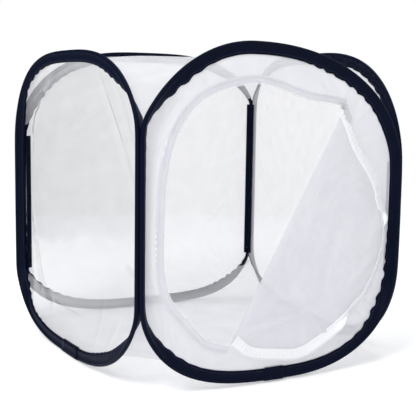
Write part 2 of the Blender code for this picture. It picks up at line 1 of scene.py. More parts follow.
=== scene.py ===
# %% [markdown]
# # A pop-up insect cage
# The cage is a cloth box. Four spring-wire rings, one round each upright side, hold it open, and
# each wire runs inside a folded navy tape. Three sides are white polyester net and the left one is
# a clear film window. The front side has a zipped door, folded open to the lower right.
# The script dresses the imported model, whose nodes and bodies come from the frame.

import math

import bmesh
import bpy
import numpy as np
from mathutils import Matrix, Vector, geometry, noise


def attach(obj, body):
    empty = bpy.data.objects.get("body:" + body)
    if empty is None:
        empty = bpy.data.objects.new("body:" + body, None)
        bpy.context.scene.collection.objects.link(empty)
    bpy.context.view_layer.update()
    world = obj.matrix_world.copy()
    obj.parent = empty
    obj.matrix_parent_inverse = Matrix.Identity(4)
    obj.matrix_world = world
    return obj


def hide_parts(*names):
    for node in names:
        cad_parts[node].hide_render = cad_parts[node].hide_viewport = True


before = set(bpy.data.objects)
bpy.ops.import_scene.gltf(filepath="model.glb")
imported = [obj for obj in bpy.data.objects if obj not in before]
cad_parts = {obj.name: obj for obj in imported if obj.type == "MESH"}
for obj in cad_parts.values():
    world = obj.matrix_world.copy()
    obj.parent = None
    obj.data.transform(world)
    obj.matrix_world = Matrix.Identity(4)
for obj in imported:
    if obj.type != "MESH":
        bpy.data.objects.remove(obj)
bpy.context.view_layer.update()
MM = 0.001
UP = Vector((0, 0, 1))
FRONT = Vector((0, -1, 0))

# %% [markdown]
# ## The camera
# The photograph was taken from the front left, a little above the middle of the cage. Four ring
# outlines and the upright corners fix the lens, the place and the small roll of the camera.

# %% Camera
CAMERA_PLACE = Vector((-549.0, -1078.7, 343.7)) * MM
CAMERA_YAW = math.radians(27.351)
CAMERA_PITCH = math.radians(7.525)
CAMERA_ROLL = math.radians(0.913)
FOCAL_PIXELS = 889.8
FRAME_PIXELS = 416
SENSOR = 36.0
CLIP_END = 50


def link(name, data):
    """Puts a new object with this data into the scene."""
    thing = bpy.data.objects.new(name, data)
    bpy.context.scene.collection.objects.link(thing)
    return thing


ahead = Vector(
    (
        math.sin(CAMERA_YAW) * math.cos(CAMERA_PITCH),
        math.cos(CAMERA_YAW) * math.cos(CAMERA_PITCH),
        -math.sin(CAMERA_PITCH),
    )
)
level = Vector((math.cos(CAMERA_YAW), -math.sin(CAMERA_YAW), 0))
above = level.cross(ahead)
right = level * math.cos(CAMERA_ROLL) + above * math.sin(CAMERA_ROLL)
top = above * math.cos(CAMERA_ROLL) - level * math.sin(CAMERA_ROLL)
camera = link("camera", bpy.data.cameras.new("camera"))
camera.data.sensor_width = SENSOR
camera.data.lens = FOCAL_PIXELS / FRAME_PIXELS * SENSOR
camera.data.clip_end = CLIP_END
turned = Matrix((right, top, -ahead)).transposed().to_4x4()
camera.matrix_world = Matrix.Translation(CAMERA_PLACE) @ turned
bpy.context.scene.camera = camera
bpy.context.scene.view_settings.view_transform = "Standard"
print("camera lens in mm:", round(camera.data.lens, 1))

# %% [markdown]
# ## Materials
# Each finish starts from what the real one is. Small helpers serve them all: one turns an sRGB hex
# colour into the linear one that Blender works in, one adds a node with its links, and the others
# add the few groups of nodes that come back in several finishes.


# %% Colour and node helpers
def linear(hex_colour):
    """An sRGB hex colour as linear RGBA."""
    shares = [int(hex_colour[i : i + 2], 16) / 255 for i in (1, 3, 5)]
    return (*(s / 12.92 if s <= 0.04045 else ((s + 0.055) / 1.055) ** 2.4 for s in shares), 1.0)


def add(tree, kind, inputs=None, **settings):
    """Adds a node. A value for an input may be a number, a colour or another node's output."""
    node = tree.nodes.new(kind)
    for key, value in settings.items():
        setattr(node, key, value)
    for key, value in (inputs or {}).items():
        if isinstance(value, bpy.types.NodeSocket):
            tree.links.new(value, node.inputs[key])
        else:
            node.inputs[key].default_value = value
    return node


def new_material(name):
    """An empty material: its node tree, and its output's surface socket."""
    material = bpy.data.materials.new(name)
    material.use_nodes = True
    material.node_tree.nodes.clear()
    end = add(material.node_tree, "ShaderNodeOutputMaterial")
    return material, material.node_tree, end.inputs["Surface"]


def ribs(tree, place, across, pitch):
    """Parallel threads on a UV map in metres, one every pitch, from 0 between them to 1 on top."""
    wave_scale = math.tau / (20 * pitch)
    wave = add(
        tree,
        "ShaderNodeTexWave",
        {"Vector": place, "Scale": wave_scale},
        wave_type="BANDS",
        bands_direction=across,
        wave_profile="SIN",
    )
    return wave.outputs["Fac"]


def woven(tree, pitch_x, pitch_y, operation):
    """Threads both ways, crossed by a Math operation."""
    place = add(tree, "ShaderNodeUVMap", uv_map="cloth").outputs["UV"]
    rows, columns = ribs(tree, place, "X", pitch_x), ribs(tree, place, "Y", pitch_y)
    return add(tree, "ShaderNodeMath", {0: rows, 1: columns}, operation=operation).outputs[0]


def noise_field(tree, scale, detail, **settings):
    """Soft noise over a piece's own box."""
    inputs = {"Scale": scale, "Detail": detail, **settings}
    return add(tree, "ShaderNodeTexNoise", inputs).outputs["Fac"]


def blend(tree, factor, first, second):
    """One colour turning into another. The first may be another node's output."""
    mix = add(tree, "ShaderNodeMix", {"Factor": factor}, data_type="RGBA")
    if isinstance(first, str):
        mix.inputs["A"].default_value = linear(first)
    else:
        tree.links.new(first, mix.inputs["A"])
    mix.inputs["B"].default_value = linear(second)
    return mix.outputs["Result"]


def raised(tree, height, strength, distance):
    inputs = {"Height": height, "Strength": strength, "Distance": distance}
    return add(tree, "ShaderNodeBump", inputs).outputs["Normal"]


def ranged(tree, value, least, most):
    inputs = {"Value": value, "To Min": least, "To Max": most}
    return add(tree, "ShaderNodeMapRange", inputs).outputs["Result"]


def principled(tree, inputs):
    return add(tree, "ShaderNodeBsdfPrincipled", inputs).outputs["BSDF"]


def mixed(tree, factor, first, second):
    return add(tree, "ShaderNodeMixShader", {0: factor, 1: first, 2: second}).outputs[0]


def glowing(tree, share, cloth, tone):
    """Cloth that lets a share of the light through, in its own tone."""
    lit = add(tree, "ShaderNodeBsdfTranslucent", {"Color": tone}).outputs[0]
    return mixed(tree, share, cloth, lit)


print("helpers ready")

# %% [markdown]
# ### Navy polyester binding
# The tape round the wires is woven polyester, dyed navy and folded in half. Its plain weave is too
# fine to see at this distance, so its threads are drawn 1.2 mm apart. The yarn is smooth, so the
# tape is nearly black face on and shows a dusty blue sheen where light grazes it.

# %% Navy polyester binding
THREAD_PITCH = 1.2 * MM
navy_polyester, tree, surface = new_material("navy_polyester_binding")
weave = woven(tree, THREAD_PITCH, THREAD_PITCH, "MULTIPLY")
wear = noise_field(tree, 45.0, 3.0, Roughness=0.6)
dye = blend(tree, wear, "#05070f", "#0a1024")
shader = principled(
    tree,
    {
        "Base Color": blend(tree, weave, dye, "#0c142b"),
        "Roughness": 0.5,
        "Specular IOR Level": 0.04,
        "Sheen Weight": 0.09,
        "Sheen Roughness": 0.4,
        "Sheen Tint": linear("#5068a8"),
        "Normal": raised(tree, weave, 0.25, 0.2 * MM),
    },
)
tree.links.new(shader, surface)
print("made", navy_polyester.name)

# %% [markdown]
# ### White polyester net
# The walls are a fine warp-knitted net. Light passes through the holes and glows through the
# threads, so what lies behind it shows only faintly. The photograph doesn't resolve the holes, so
# their pitch is taken, and they never open fully, because the knit blurs them. The front wall and
# the flap are a little denser than the other walls. The other walls' copy is also a shade greyer
# than the front's, and that difference is painted shade.


# %% White polyester net
NET_PITCH = 1.2 * MM


def net_material(name, colour, least_cover, most_cover, glow):
    """A net: least_cover in its holes, most_cover on its threads, glow is the light it passes."""
    material, tree, surface = new_material(name)
    threads = woven(tree, NET_PITCH, NET_PITCH, "MAXIMUM")
    tone = blend(tree, noise_field(tree, 14.0, 2.0), colour, "#eeeef1")
    cloth = principled(
        tree,
        {
            "Base Color": tone,
            "Roughness": 0.8,
            "Specular IOR Level": 0.2,
            "Sheen Weight": 0.1,
            "Normal": raised(tree, threads, 0.15, 0.1 * MM),
        },
    )
    yarn = glowing(tree, glow, cloth, tone)
    hole = add(tree, "ShaderNodeBsdfTransparent").outputs[0]
    cover = ranged(tree, threads, least_cover, most_cover)
    tree.links.new(mixed(tree, cover, hole, yarn), surface)
    return material


# The copy for the other walls, the top and the floor is a shade greyer than the front's: painted
# shade.
white_net = net_material("white_polyester_net", "#d8d9dd", 0.42, 0.60, 0.45)
front_white_net = net_material("white_polyester_net_front", "#dfe0e5", 0.60, 0.76, 0.42)
print("made", white_net.name, front_white_net.name)

# %% [markdown]
# ### Clear film
# The window is soft clear PVC, calendered smooth. It lets nearly all light through and reflects
# more the flatter one looks along it, which the Fresnel node gives.

# %% Clear film
clear_film, tree, surface = new_material("clear_pvc_film")
ripple = noise_field(tree, 9.0, 2.0)
grazing = add(tree, "ShaderNodeFresnel", {"IOR": 1.47}).outputs[0]
thin = add(tree, "ShaderNodeMath", {0: grazing, 1: 0.6}, operation="MULTIPLY").outputs[0]
clear = add(tree, "ShaderNodeBsdfTransparent", {"Color": linear("#f8f8f8")}).outputs[0]
polish = {
    "Color": linear("#ffffff"),
    "Roughness": 0.12,
    "Normal": raised(tree, ripple, 0.3, 1 * MM),
}
gloss = add(tree, "ShaderNodeBsdfGlossy", polish).outputs[0]
tree.links.new(mixed(tree, thin, clear, gloss), surface)
print("made", clear_film.name)

# %% [markdown]
# ### Zip: woven tape, nylon coil and painted zinc
# A zip's tape is a close twill of polyester, whiter and denser than the net. The coil is moulded
# nylon wire, glossy and slightly see-through. The slider and its tab are die-cast zinc under pale
# grey paint. The steel of the wires and the sewing threads are made with the same helper.

# %% Zip materials
TWILL_ALONG = 1.6 * MM
TWILL_ACROSS = 1.1 * MM


def plain_material(name, colour, roughness, grain_scale, **values):
    """A Principled finish whose tone and roughness drift a little over the surface."""
    material, tree, surface = new_material(name)
    grain = noise_field(tree, grain_scale, 4.0)
    tone = add(tree, "ShaderNodeHueSaturation", {"Color": linear(colour)})
    tree.links.new(ranged(tree, grain, 0.93, 1.05), tone.inputs["Value"])
    inputs = {
        "Base Color": tone.outputs["Color"],
        "Roughness": ranged(tree, grain, max(roughness - 0.08, 0), roughness + 0.08),
        "Normal": raised(tree, grain, 0.1, MM),
        **values,
    }
    tree.links.new(principled(tree, inputs), surface)
    return material


def zip_tape_material():
    """Twill ribs across the tape, and light that glows faintly through it."""
    material, tree, surface = new_material("woven_zip_tape")
    twill = woven(tree, TWILL_ALONG, TWILL_ACROSS, "MULTIPLY")
    tone = blend(tree, twill, "#f4f5f8", "#ffffff")
    cloth = principled(
        tree,
        {
            "Base Color": tone,
            "Roughness": 0.65,
            "Sheen Weight": 0.15,
            "Normal": raised(tree, twill, 0.3, 0.2 * MM),
        },
    )
    tree.links.new(glowing(tree, 0.2, cloth, tone), surface)
    return material


woven_zip_tape = zip_tape_material()
nylon = plain_material("moulded_nylon_coil", "#f4f5f7", 0.35, 300.0)
painted_zinc = plain_material("painted_zinc", "#c9cacd", 0.38, 120.0, Metallic=0.15)
spring_steel = plain_material("drawn_spring_steel", "#b4b5b8", 0.3, 200.0, Metallic=1.0)
crimped_steel = plain_material("crimped_steel", "#c2c2c4", 0.4, 150.0, Metallic=1.0)
white_thread = plain_material("white_sewing_thread", "#dcdde1", 0.6, 400.0)
navy_thread = plain_material("navy_sewing_thread", "#232b4a", 0.5, 400.0)
print("made", woven_zip_tape.name, nylon.name, painted_zinc.name, spring_steel.name)

# %% [markdown]
# ## Pieces
# Every piece is built where the real one sits, rides on its body, and stands in for the plain
# solid that the frame carries. One helper does those three things.


# %% Piece helper
def add_piece(name, shape, material, nodes, body="cage"):
    """Turns a bmesh into a smooth piece that rides on a body and replaces the frame's nodes."""
    mesh = bpy.data.meshes.new(name)
    shape.to_mesh(mesh)
    shape.free()
    mesh.polygons.foreach_set("use_smooth", [True] * len(mesh.polygons))
    piece = link(name, mesh)
    mesh.materials.append(material)
    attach(piece, body)
    if nodes:
        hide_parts(*nodes)
    return piece


# %% [markdown]
# ## Where the rings stand
# In plan the four corners make a slightly uneven square, as a cloth box does when it springs open.
# Each ring is a rounded square that is flattened along its two upright sides, where it is sewn to
# its neighbours.

# %% Ring sizes
CAGE_HEIGHT = 400 * MM
WIRE_RADIUS = 0.9 * MM
BEAD_RADIUS = 2.7 * MM
CAVITY_RADIUS = 2.05 * MM
TAPE_WIDTH = 15.2 * MM
TAPE_PLY = 0.8 * MM
TAPE_SLOT = 0.6 * MM
TAPE_RELAX = 100 * MM
SEAM_BLEND = 2.2 * MM
CLEAR = 0.3 * MM
TAPE_REACH = TAPE_WIDTH - BEAD_RADIUS
TAPE_HALF = TAPE_SLOT / 2 + TAPE_PLY
CORNER_PLAN = {
    "front_left": Vector((-177, -199, 0)) * MM,
    "front_right": Vector((177, -199, 0)) * MM,
    "back_right": Vector((196, 204, 0)) * MM,
    "back_left": Vector((-199, 209, 0)) * MM,
}
SIDE_CORNERS = {
    "front": ("front_left", "front_right"),
    "right": ("front_right", "back_right"),
    "back": ("back_right", "back_left"),
    "left": ("back_left", "front_left"),
}
SEAM_SHARES = {
    "front_left": (0.235, 0.765),
    "front_right": (0.290, 0.650),
    "back_right": (0.185, 0.810),
    "back_left": (0.190, 0.690),
}
# Foot and top of each ring, then how far its lowest and highest places stand aside, all in mm.
RING_HEIGHTS = {
    "front": (2.0, 400), "right": (-0.5, 399.5), "back": (-0.5, 400), "left": (-0.5, 391)
}
RING_CRESTS = {"front": (15, -39), "right": (0, 0), "back": (0, 0), "left": (-18, 3)}
# For each quarter from low right round to low left: the power for the width, and for the height.
RING_POWERS = {
    "front": ((2.25, 3.2), (2.12, 2.62), (2.0, 2.1), (3.2, 3.25)),
    "right": ((3.4, 3.4), (4.2, 4.2), (2.65, 2.65), (3.0, 3.0)),
    "back": ((3.3, 3.3), (2.8, 2.8), (3.2, 3.2), (3.8, 3.8)),
    "left": ((2.8, 2.63), (2.86, 3.2), (2.98, 2.97), (2.9, 2.95)),
}
FINE_POINTS = 2400
RING_STATIONS = 240
# A tangent is taken over this many fine points ahead and behind.
TANGENT_SPAN = (7, 6)
# Past this the rounded corner's exponential changes nothing.
FAR_INSIDE = -30


def smooth_step(share):
    """Eases from 0 to 1 with a level start and end."""
    return share * share * (3 - 2 * share)


print("rings:", ", ".join(SIDE_CORNERS))

# %% [markdown]
# ## How the cloth pulls the tape about
# The net is gathered where the tape turns sharply, so the tape's inner edge runs in small waves
# there. Each entry gives where along the ring, as a share of its length from the lowest point
# towards the ring's far corner, how long the stretch is, how high the waves are and how long.

# %% Tape gathers
GATHER_SCALE = 2.0
GATHERS = {
    "front": (
        (0.135, 0.075, 1.6, 21),
        (0.185, 0.040, 0.9, 15),
        (0.385, 0.055, 1.5, 18),
        (0.425, 0.035, 1.2, 14),
        (0.600, 0.050, 1.7, 22),
        (0.655, 0.040, 1.3, 17),
        (0.860, 0.045, 0.9, 20),
    ),
    "left": (
        (0.090, 0.030, 1.6, 13),
        (0.330, 0.060, 1.6, 19),
        (0.400, 0.050, 1.3, 16),
        (0.620, 0.060, 1.5, 22),
        (0.860, 0.060, 1.5, 20),
        (0.920, 0.040, 1.1, 17),
    ),
    "right": ((0.150, 0.080, 1.4, 20), (0.620, 0.080, 1.4, 21)),
    "back": ((0.140, 0.080, 1.5, 20), (0.360, 0.060, 1.3, 18), (0.860, 0.060, 3.0, 14)),
}


def gather_at(side, share, length):
    """How far the tape's mouth moves inward here, in metres."""
    inward = 0.0
    for middle, spread, height, wave in GATHERS[side]:
        away = (share - middle + 0.5) % 1 - 0.5
        window = math.exp(-((away / spread) ** 2) * 2)
        # Each stretch's waves start at their own place, which its height sets.
        phase = away * length / (wave * MM) * math.tau + height * 7
        inward += GATHER_SCALE * height * MM * window * (0.5 + 0.5 * math.sin(phase))
    return inward


print("gathered stretches:", sum(len(g) for g in GATHERS.values()))


# %% [markdown]
# ## The rings as frames to build on
# A ring object knows its wire's path and how the tape leans at each place. Along a corner seam the
# two neighbouring tapes turn face to face into the diagonal, and past the seam they ease back flat.


# %% Ring
def along(side):
    start, end = SIDE_CORNERS[side]
    return (CORNER_PLAN[end] - CORNER_PLAN[start]).normalized()


def seam_offset(corner):
    """Half the step in plan between the two wires that meet at this corner."""
    meeting = [side for side, ends in SIDE_CORNERS.items() if corner in ends]
    across = (along(meeting[0]) + along(meeting[1])).normalized()
    return across * (BEAD_RADIUS + CLEAR / 2)


class Ring:
    """One upright ring: its plane, and stations with the wire's place and the tape's lean."""

    def __init__(self, side):
        self.side = side
        self.start, self.end = SIDE_CORNERS[side]
        first = CORNER_PLAN[self.start] + seam_offset(self.start)
        last = CORNER_PLAN[self.end] - seam_offset(self.end)
        self.middle = (first + last) / 2
        self.half_width = (last - first).length / 2
        self.across = (last - first).normalized()
        self.inward = Vector((-self.across.y, self.across.x, 0))
        foot, top = RING_HEIGHTS[side]
        self.centre_height = (top + foot) / 2 * MM
        self.half_height = (top - foot) / 2 * MM - BEAD_RADIUS
        self.stations = self.find_stations()

    def seam_heights(self, sign):
        low, high = SEAM_SHARES[self.end if sign > 0 else self.start]
        return low * CAGE_HEIGHT, high * CAGE_HEIGHT

    def lean_at_seam(self, sign):
        corner = self.end if sign > 0 else self.start
        other = next(s for s, ends in SIDE_CORNERS.items() if corner in ends and s != self.side)
        inside = -sign * self.across
        neighbour_inside = along(other) if SIDE_CORNERS[other][0] == corner else -along(other)
        diagonal = (inside + neighbour_inside).normalized()
        closing = BEAD_RADIUS - TAPE_SLOT / 2 - TAPE_PLY
        return inside.angle(diagonal) + math.asin(closing / TAPE_REACH)

    def outline_point(self, turn):
        """A point of the wire, its angle measured from straight down towards the ring's end."""
        sideways = math.sin(turn)
        upward = -math.cos(turn)
        sign = 1 if sideways >= 0 else -1
        quarter = {(1, False): 0, (1, True): 1, (-1, True): 2, (-1, False): 3}[sign, upward > 0]
        wide, high = RING_POWERS[self.side][quarter]
        seam_height = self.seam_heights(sign)[1 if upward > 0 else 0]
        rise = abs(seam_height - self.centre_height) / self.half_height
        # The highest and lowest places don't stand over the ring's middle.
        aside = RING_CRESTS[self.side][1 if upward > 0 else 0] * MM
        half_width = self.half_width - sign * aside
        reach = half_width / (1 - rise**high) ** (1 / wide)
        width = reach * abs(sideways) ** (2 / wide)
        height = self.half_height * abs(upward) ** (2 / high) * (1 if upward > 0 else -1)
        over = (width - half_width) / SEAM_BLEND
        kept = width
        if over > FAR_INSIDE:
            kept = half_width - SEAM_BLEND * math.log(1 + math.exp(-over))
        return Vector((aside + sign * kept, 0, self.centre_height + height))

    def find_stations(self):
        fine = [self.outline_point(math.tau * i / FINE_POINTS) for i in range(FINE_POINTS)]
        run = [0.0]
        for i in range(FINE_POINTS):
            run.append(run[-1] + (fine[(i + 1) % FINE_POINTS] - fine[i]).length)
        self.length = run[-1]
        stations = []
        i = 0
        for k in range(RING_STATIONS):
            wanted = run[-1] * k / RING_STATIONS
            while run[i + 1] <= wanted:
                i += 1
            share = (wanted - run[i]) / (run[i + 1] - run[i])
            here = fine[i].lerp(fine[(i + 1) % FINE_POINTS], share)
            ahead, behind = (i + TANGENT_SPAN[0]) % FINE_POINTS, i - TANGENT_SPAN[1]
            tangent = (fine[ahead] - fine[behind]).normalized()
            stations.append(self.station(here, tangent, k / RING_STATIONS))
        return stations

    def station(self, flat, tangent, share):
        sign = 1 if flat.x >= 0 else -1
        low, high = self.seam_heights(sign)
        nearest = min(max(flat.z, low), high)
        away = math.hypot(self.half_width - abs(flat.x), flat.z - nearest)
        if low <= flat.z <= high:
            away = 0
        ease = min(away / TAPE_RELAX, 1)
        lean = self.lean_at_seam(sign) * (1 - smooth_step(ease))
        normal = -tangent.z * self.across + tangent.x * UP
        return {
            "wire": self.middle + self.across * flat.x + UP * flat.z,
            "legs": math.cos(lean) * normal + math.sin(lean) * self.inward,
            "side": math.cos(lean) * self.inward - math.sin(lean) * normal,
            "flat": flat,
            "share": share,
            "gather": gather_at(self.side, share, self.length),
        }


rings = {side: Ring(side) for side in SIDE_CORNERS}
for ring in rings.values():
    print(ring.side, "ring, wire length in mm:", round(ring.length / MM))

# %% [markdown]
# ## Binding tape
# The real tape is a flat strip folded lengthwise over the wire and sewn shut beside it, so its
# section is a teardrop: a bead round the wire and two plies beside each other. A sweep of that
# section round the ring gives it, with a UV map in metres for the weave.


# %% Sweep helper
BEAD_STEPS = 12
CAVITY_STEPS = 7


def lay(shape, cloth_map, corners, spots):
    """A face, with the place on the flat cloth of each of its corners."""
    face = shape.faces.new(corners)
    for loop, spot in zip(face.loops, spots):
        loop[cloth_map].uv = spot


def sweep(frames, section, closed, ground=False):
    """Carries sections along frames of (point, first axis, second axis, length so far)."""
    shape = bmesh.new()
    cloth_map = shape.loops.layers.uv.new("cloth")
    girth = [0.0]
    outline = section(frames[0])
    for a, b in zip(outline, outline[1:] + outline[:1]):
        girth.append(girth[-1] + math.dist(a, b))
    rows = []
    for frame_here in frames:
        point, first, second, _ = frame_here[:4]
        row = [point + first * a + second * b for a, b in section(frame_here)]
        if ground:
            row = [Vector((p.x, p.y, max(p.z, 0))) for p in row]
        rows.append([shape.verts.new(p) for p in row])
    count = len(outline)
    pairs = list(range(len(rows) - 1)) + ([len(rows) - 1] if closed else [])
    step = frames[1][3] - frames[0][3]
    for k in pairs:
        near, far = rows[k], rows[(k + 1) % len(rows)]
        start = frames[k][3]
        for i in range(count):
            j = (i + 1) % count
            spots = ((start, girth[i]), (start, girth[i + 1]))
            spots += ((start + step, girth[i + 1]), (start + step, girth[i]))
            lay(shape, cloth_map, (near[i], near[j], far[j], far[i]), spots)
    if not closed:
        shape.faces.new(rows[0][::-1])
        shape.faces.new(rows[-1])
    bmesh.ops.recalc_face_normals(shape, faces=shape.faces)
    return shape


def join(shape, rows):
    """Joins rows of corners into a tube with closed ends."""
    for one, two in zip(rows, rows[1:]):
        for i in range(len(one)):
            j = (i + 1) % len(one)
            shape.faces.new((one[i], one[j], two[j], two[i]))
    shape.faces.new(rows[0][::-1])
    shape.faces.new(rows[-1])


def tape_outline(leg, half, bead, cavity, gather):
    """The folded tape cut across, with its mouth moved inward by a gather."""
    outer_turn = math.asin(half / bead)
    inner_turn = math.asin(TAPE_SLOT / 2 / cavity)
    reach = leg + gather
    middle = (leg + bead) / 2
    swell = 0.25 * MM
    outer = [(reach, half), (middle, half + swell)]
    for step in range(BEAD_STEPS + 1):
        turn = outer_turn + (math.tau - 2 * outer_turn) * step / BEAD_STEPS
        outer.append((bead * math.cos(turn), bead * math.sin(turn)))
    # The ply on this side ends a little short of the other, as a folded strip's edges do.
    outer += [(middle, -half - swell), (reach - 0.5 * MM, -half)]
    inner = [(reach - 0.5 * MM, -TAPE_SLOT / 2)]
    for step in range(CAVITY_STEPS + 1):
        turn = math.tau - inner_turn - (math.tau - 2 * inner_turn) * step / CAVITY_STEPS
        inner.append((cavity * math.cos(turn), cavity * math.sin(turn)))
    inner.append((reach, TAPE_SLOT / 2))
    return outer + inner


# %% Tapes
def make_tape(ring):
    frames = [
        (s["wire"], s["legs"], s["side"], s["share"] * ring.length, s["gather"])
        for s in ring.stations
    ]

    def section(frame_here):
        return tape_outline(TAPE_REACH, TAPE_HALF, BEAD_RADIUS, CAVITY_RADIUS, frame_here[4])

    shape = sweep(frames, section, True, ground=True)
    name = "loop_tape_" + ring.side
    return add_piece("navy_tape_" + ring.side, shape, navy_polyester, [name])


tapes = {side: make_tape(ring) for side, ring in rings.items()}
print("tapes:", ", ".join(tape.name for tape in tapes.values()))

# %% [markdown]
# ## Stitching
# A row of lock stitches shuts each tape beside its mouth. Each stitch is a short bowed thread that
# dips into the cloth at both ends.

# %% Stitch helper
STITCH_PITCH = 3.6 * MM
STITCH_LENGTH = 2.7 * MM
THREAD_RADIUS = 0.22 * MM
# Along the stitch as a share of its length, height in mm, and thickness as a share.
STITCH_SECTIONS = ((-0.5, -0.15, 0.5), (0, 0.12, 1), (0.5, -0.15, 0.5))


def make_stitches(name, row, material, body="cage"):
    """Stitches along a row of (place, outward direction, length so far)."""
    shape = bmesh.new()
    runs = np.array([item[2] for item in row])
    for n in range(int(runs[-1] / STITCH_PITCH)):
        wanted = (n + 0.5) * STITCH_PITCH
        i = min(int(np.searchsorted(runs, wanted)), len(row) - 1)
        (near, lift, start), (far, _, end) = row[i - 1], row[i]
        here = near.lerp(far, (wanted - start) / (end - start))
        way = (far - near).normalized()
        aside = way.cross(lift).normalized()
        rings_of = []
        for along_by, rise, radius in STITCH_SECTIONS:
            middle = here + way * STITCH_LENGTH * along_by + lift * rise * MM
            reach = THREAD_RADIUS * radius
            corners = (aside, lift, -aside, -lift)
            rings_of.append([shape.verts.new(middle + corner * reach) for corner in corners])
        join(shape, rings_of)
    bmesh.ops.recalc_face_normals(shape, faces=shape.faces)
    return add_piece(name, shape, material, [], body=body)


# %% Tape stitches
STITCH_FROM_MOUTH = 3.0 * MM
STITCH_LIFT = 0.12 * MM


def tape_stitch_row(ring):
    row = []
    for k, s in enumerate(ring.stations + ring.stations[:1]):
        reach = TAPE_REACH + s["gather"] - STITCH_FROM_MOUTH
        out = TAPE_HALF + STITCH_LIFT
        place = s["wire"] + s["legs"] * reach - s["side"] * out
        row.append((place, -s["side"], k * ring.length / RING_STATIONS))
    return row


tape_stitches = [
    make_stitches("tape_stitches_" + side, tape_stitch_row(ring), navy_thread)
    for side, ring in rings.items()
]
print("stitched tapes:", len(tape_stitches))

# %% [markdown]
# ## Where the tape overlaps itself
# The strip is sewn on as one length, and its end laps over its start. On the real cage this shows
# as a short thicker stretch with a raw edge, low on the left ring and on the front ring.

# %% Overlaps
# Each entry is a side, and where its lap starts and ends along the side's lower run, in mm.
LAPS = (("left", -22, 37), ("front", -19, 12))
LAP_PLY = 0.7 * MM
LAP_OVERHANG = 1.0 * MM


def make_lap(side, start, end):
    ring = rings[side]
    low = [s for s in ring.stations if s["flat"].z < ring.centre_height]
    lap = [s for s in low if start <= s["flat"].x / MM <= end]
    lap.sort(key=lambda s: s["flat"].x)
    spacing = ring.length / RING_STATIONS
    frames = [
        (s["wire"], s["legs"], s["side"], k * spacing, s["gather"]) for k, s in enumerate(lap)
    ]

    def section(frame_here):
        leg, half = TAPE_REACH + LAP_OVERHANG, TAPE_HALF + LAP_PLY
        bead, cavity = BEAD_RADIUS + LAP_PLY, CAVITY_RADIUS + LAP_PLY
        return tape_outline(leg, half, bead, cavity, frame_here[4])

    shape = sweep(frames, section, False, ground=True)
    return add_piece(f"tape_lap_{side}", shape, navy_polyester, [])


laps = [make_lap(*lap) for lap in LAPS]
print("laps:", len(laps))

# %% [markdown]
# ## Wires and ferrules
# The wires lie hidden in the tapes. Each is a curve that runs once round its ring, and a crimped
# sleeve joins its ends near the middle of the lower run.

# %% Wires
# Where each wire's ends meet, as a share of the ring's half width from its middle.
FERRULE_SHARES = {"front": 0.16, "right": -0.10, "back": 0.12, "left": -0.40}


def make_wire(ring):
    offset = FERRULE_SHARES[ring.side] * ring.half_width
    low = [k for k, s in enumerate(ring.stations) if s["flat"].z < ring.centre_height]
    joint = min(low, key=lambda k: abs(ring.stations[k]["flat"].x - offset))
    order = ring.stations[joint:] + ring.stations[:joint]
    curve = bpy.data.curves.new("wire_" + ring.side, "CURVE")
    curve.dimensions = "3D"
    curve.bevel_depth = WIRE_RADIUS
    curve.bevel_resolution = 2
    curve.use_fill_caps = True
    spline = curve.splines.new("POLY")
    spline.points.add(len(order) - 1)
    for point, station in zip(spline.points, order):
        point.co = (*station["wire"], 1)
    wire = link("steel_wire_" + ring.side, curve)
    curve.materials.append(spring_steel)
    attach(wire, "cage")
    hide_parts("wire_loop_" + ring.side)
    return wire


wires = [make_wire(ring) for ring in rings.values()]
print("wires:", len(wires))
for side in rings:
    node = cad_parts["wire_ferrule_" + side]
    node.material_slots[0].material = crimped_steel

# %% [markdown]
# ## Sheets between the rings
# Net and film are cut flat and sewn to the rings, so each is a drum skin. Its rim follows the
# leaning tape, and its depth between is worked out as a soap film would take it, by averaging
# neighbours over a fine even mesh. Creases and folds are then laid in as soft ridges.


# %% Sheet helpers
def inside(point, outline):
    """True if a 2-D point lies inside a closed outline."""
    x, y = point
    odd = False
    for (x1, y1), (x2, y2) in zip(outline, outline[1:] + outline[:1]):
        if (y1 > y) != (y2 > y) and x < (x2 - x1) * (y - y1) / (y2 - y1) + x1:
            odd = not odd
    return odd


def from_border(border, point):
    """Distance of a 2-D point from the nearest of a border's points."""
    return np.min(np.hypot(border[:, 0] - point[0], border[:, 1] - point[1]))


def to_segment(points, start, end):
    """Distance of 2-D points from a segment, and how far along it each falls, from 0 to 1."""
    start, end = np.array(start), np.array(end)
    run = end - start
    share = np.clip(((points - start) @ run) / max(run @ run, 1e-12), 0, 1)
    return np.linalg.norm(points - start - share[:, None] * run, axis=1), share


CREASE_SCALE = 1.6
CREASE_ENDS = (0.02, 0.98)
CREASE_FADE = 0.6


def crease_depth(points, creases):
    """Soft ridges: each crease is (x0, z0, x1, z1, half width, height) in mm."""
    depth = np.zeros(len(points))
    for x0, z0, x1, z1, width, height in creases:
        away, share = to_segment(points / MM, (x0, z0), (x1, z1))
        taper = np.sin(np.clip(share, *CREASE_ENDS) * math.pi) ** CREASE_FADE
        depth += CREASE_SCALE * height * MM * taper * np.exp(-((away / width) ** 2))
    return depth


ROW_SHARE = 0.866
EDGE_ROOM = 0.55


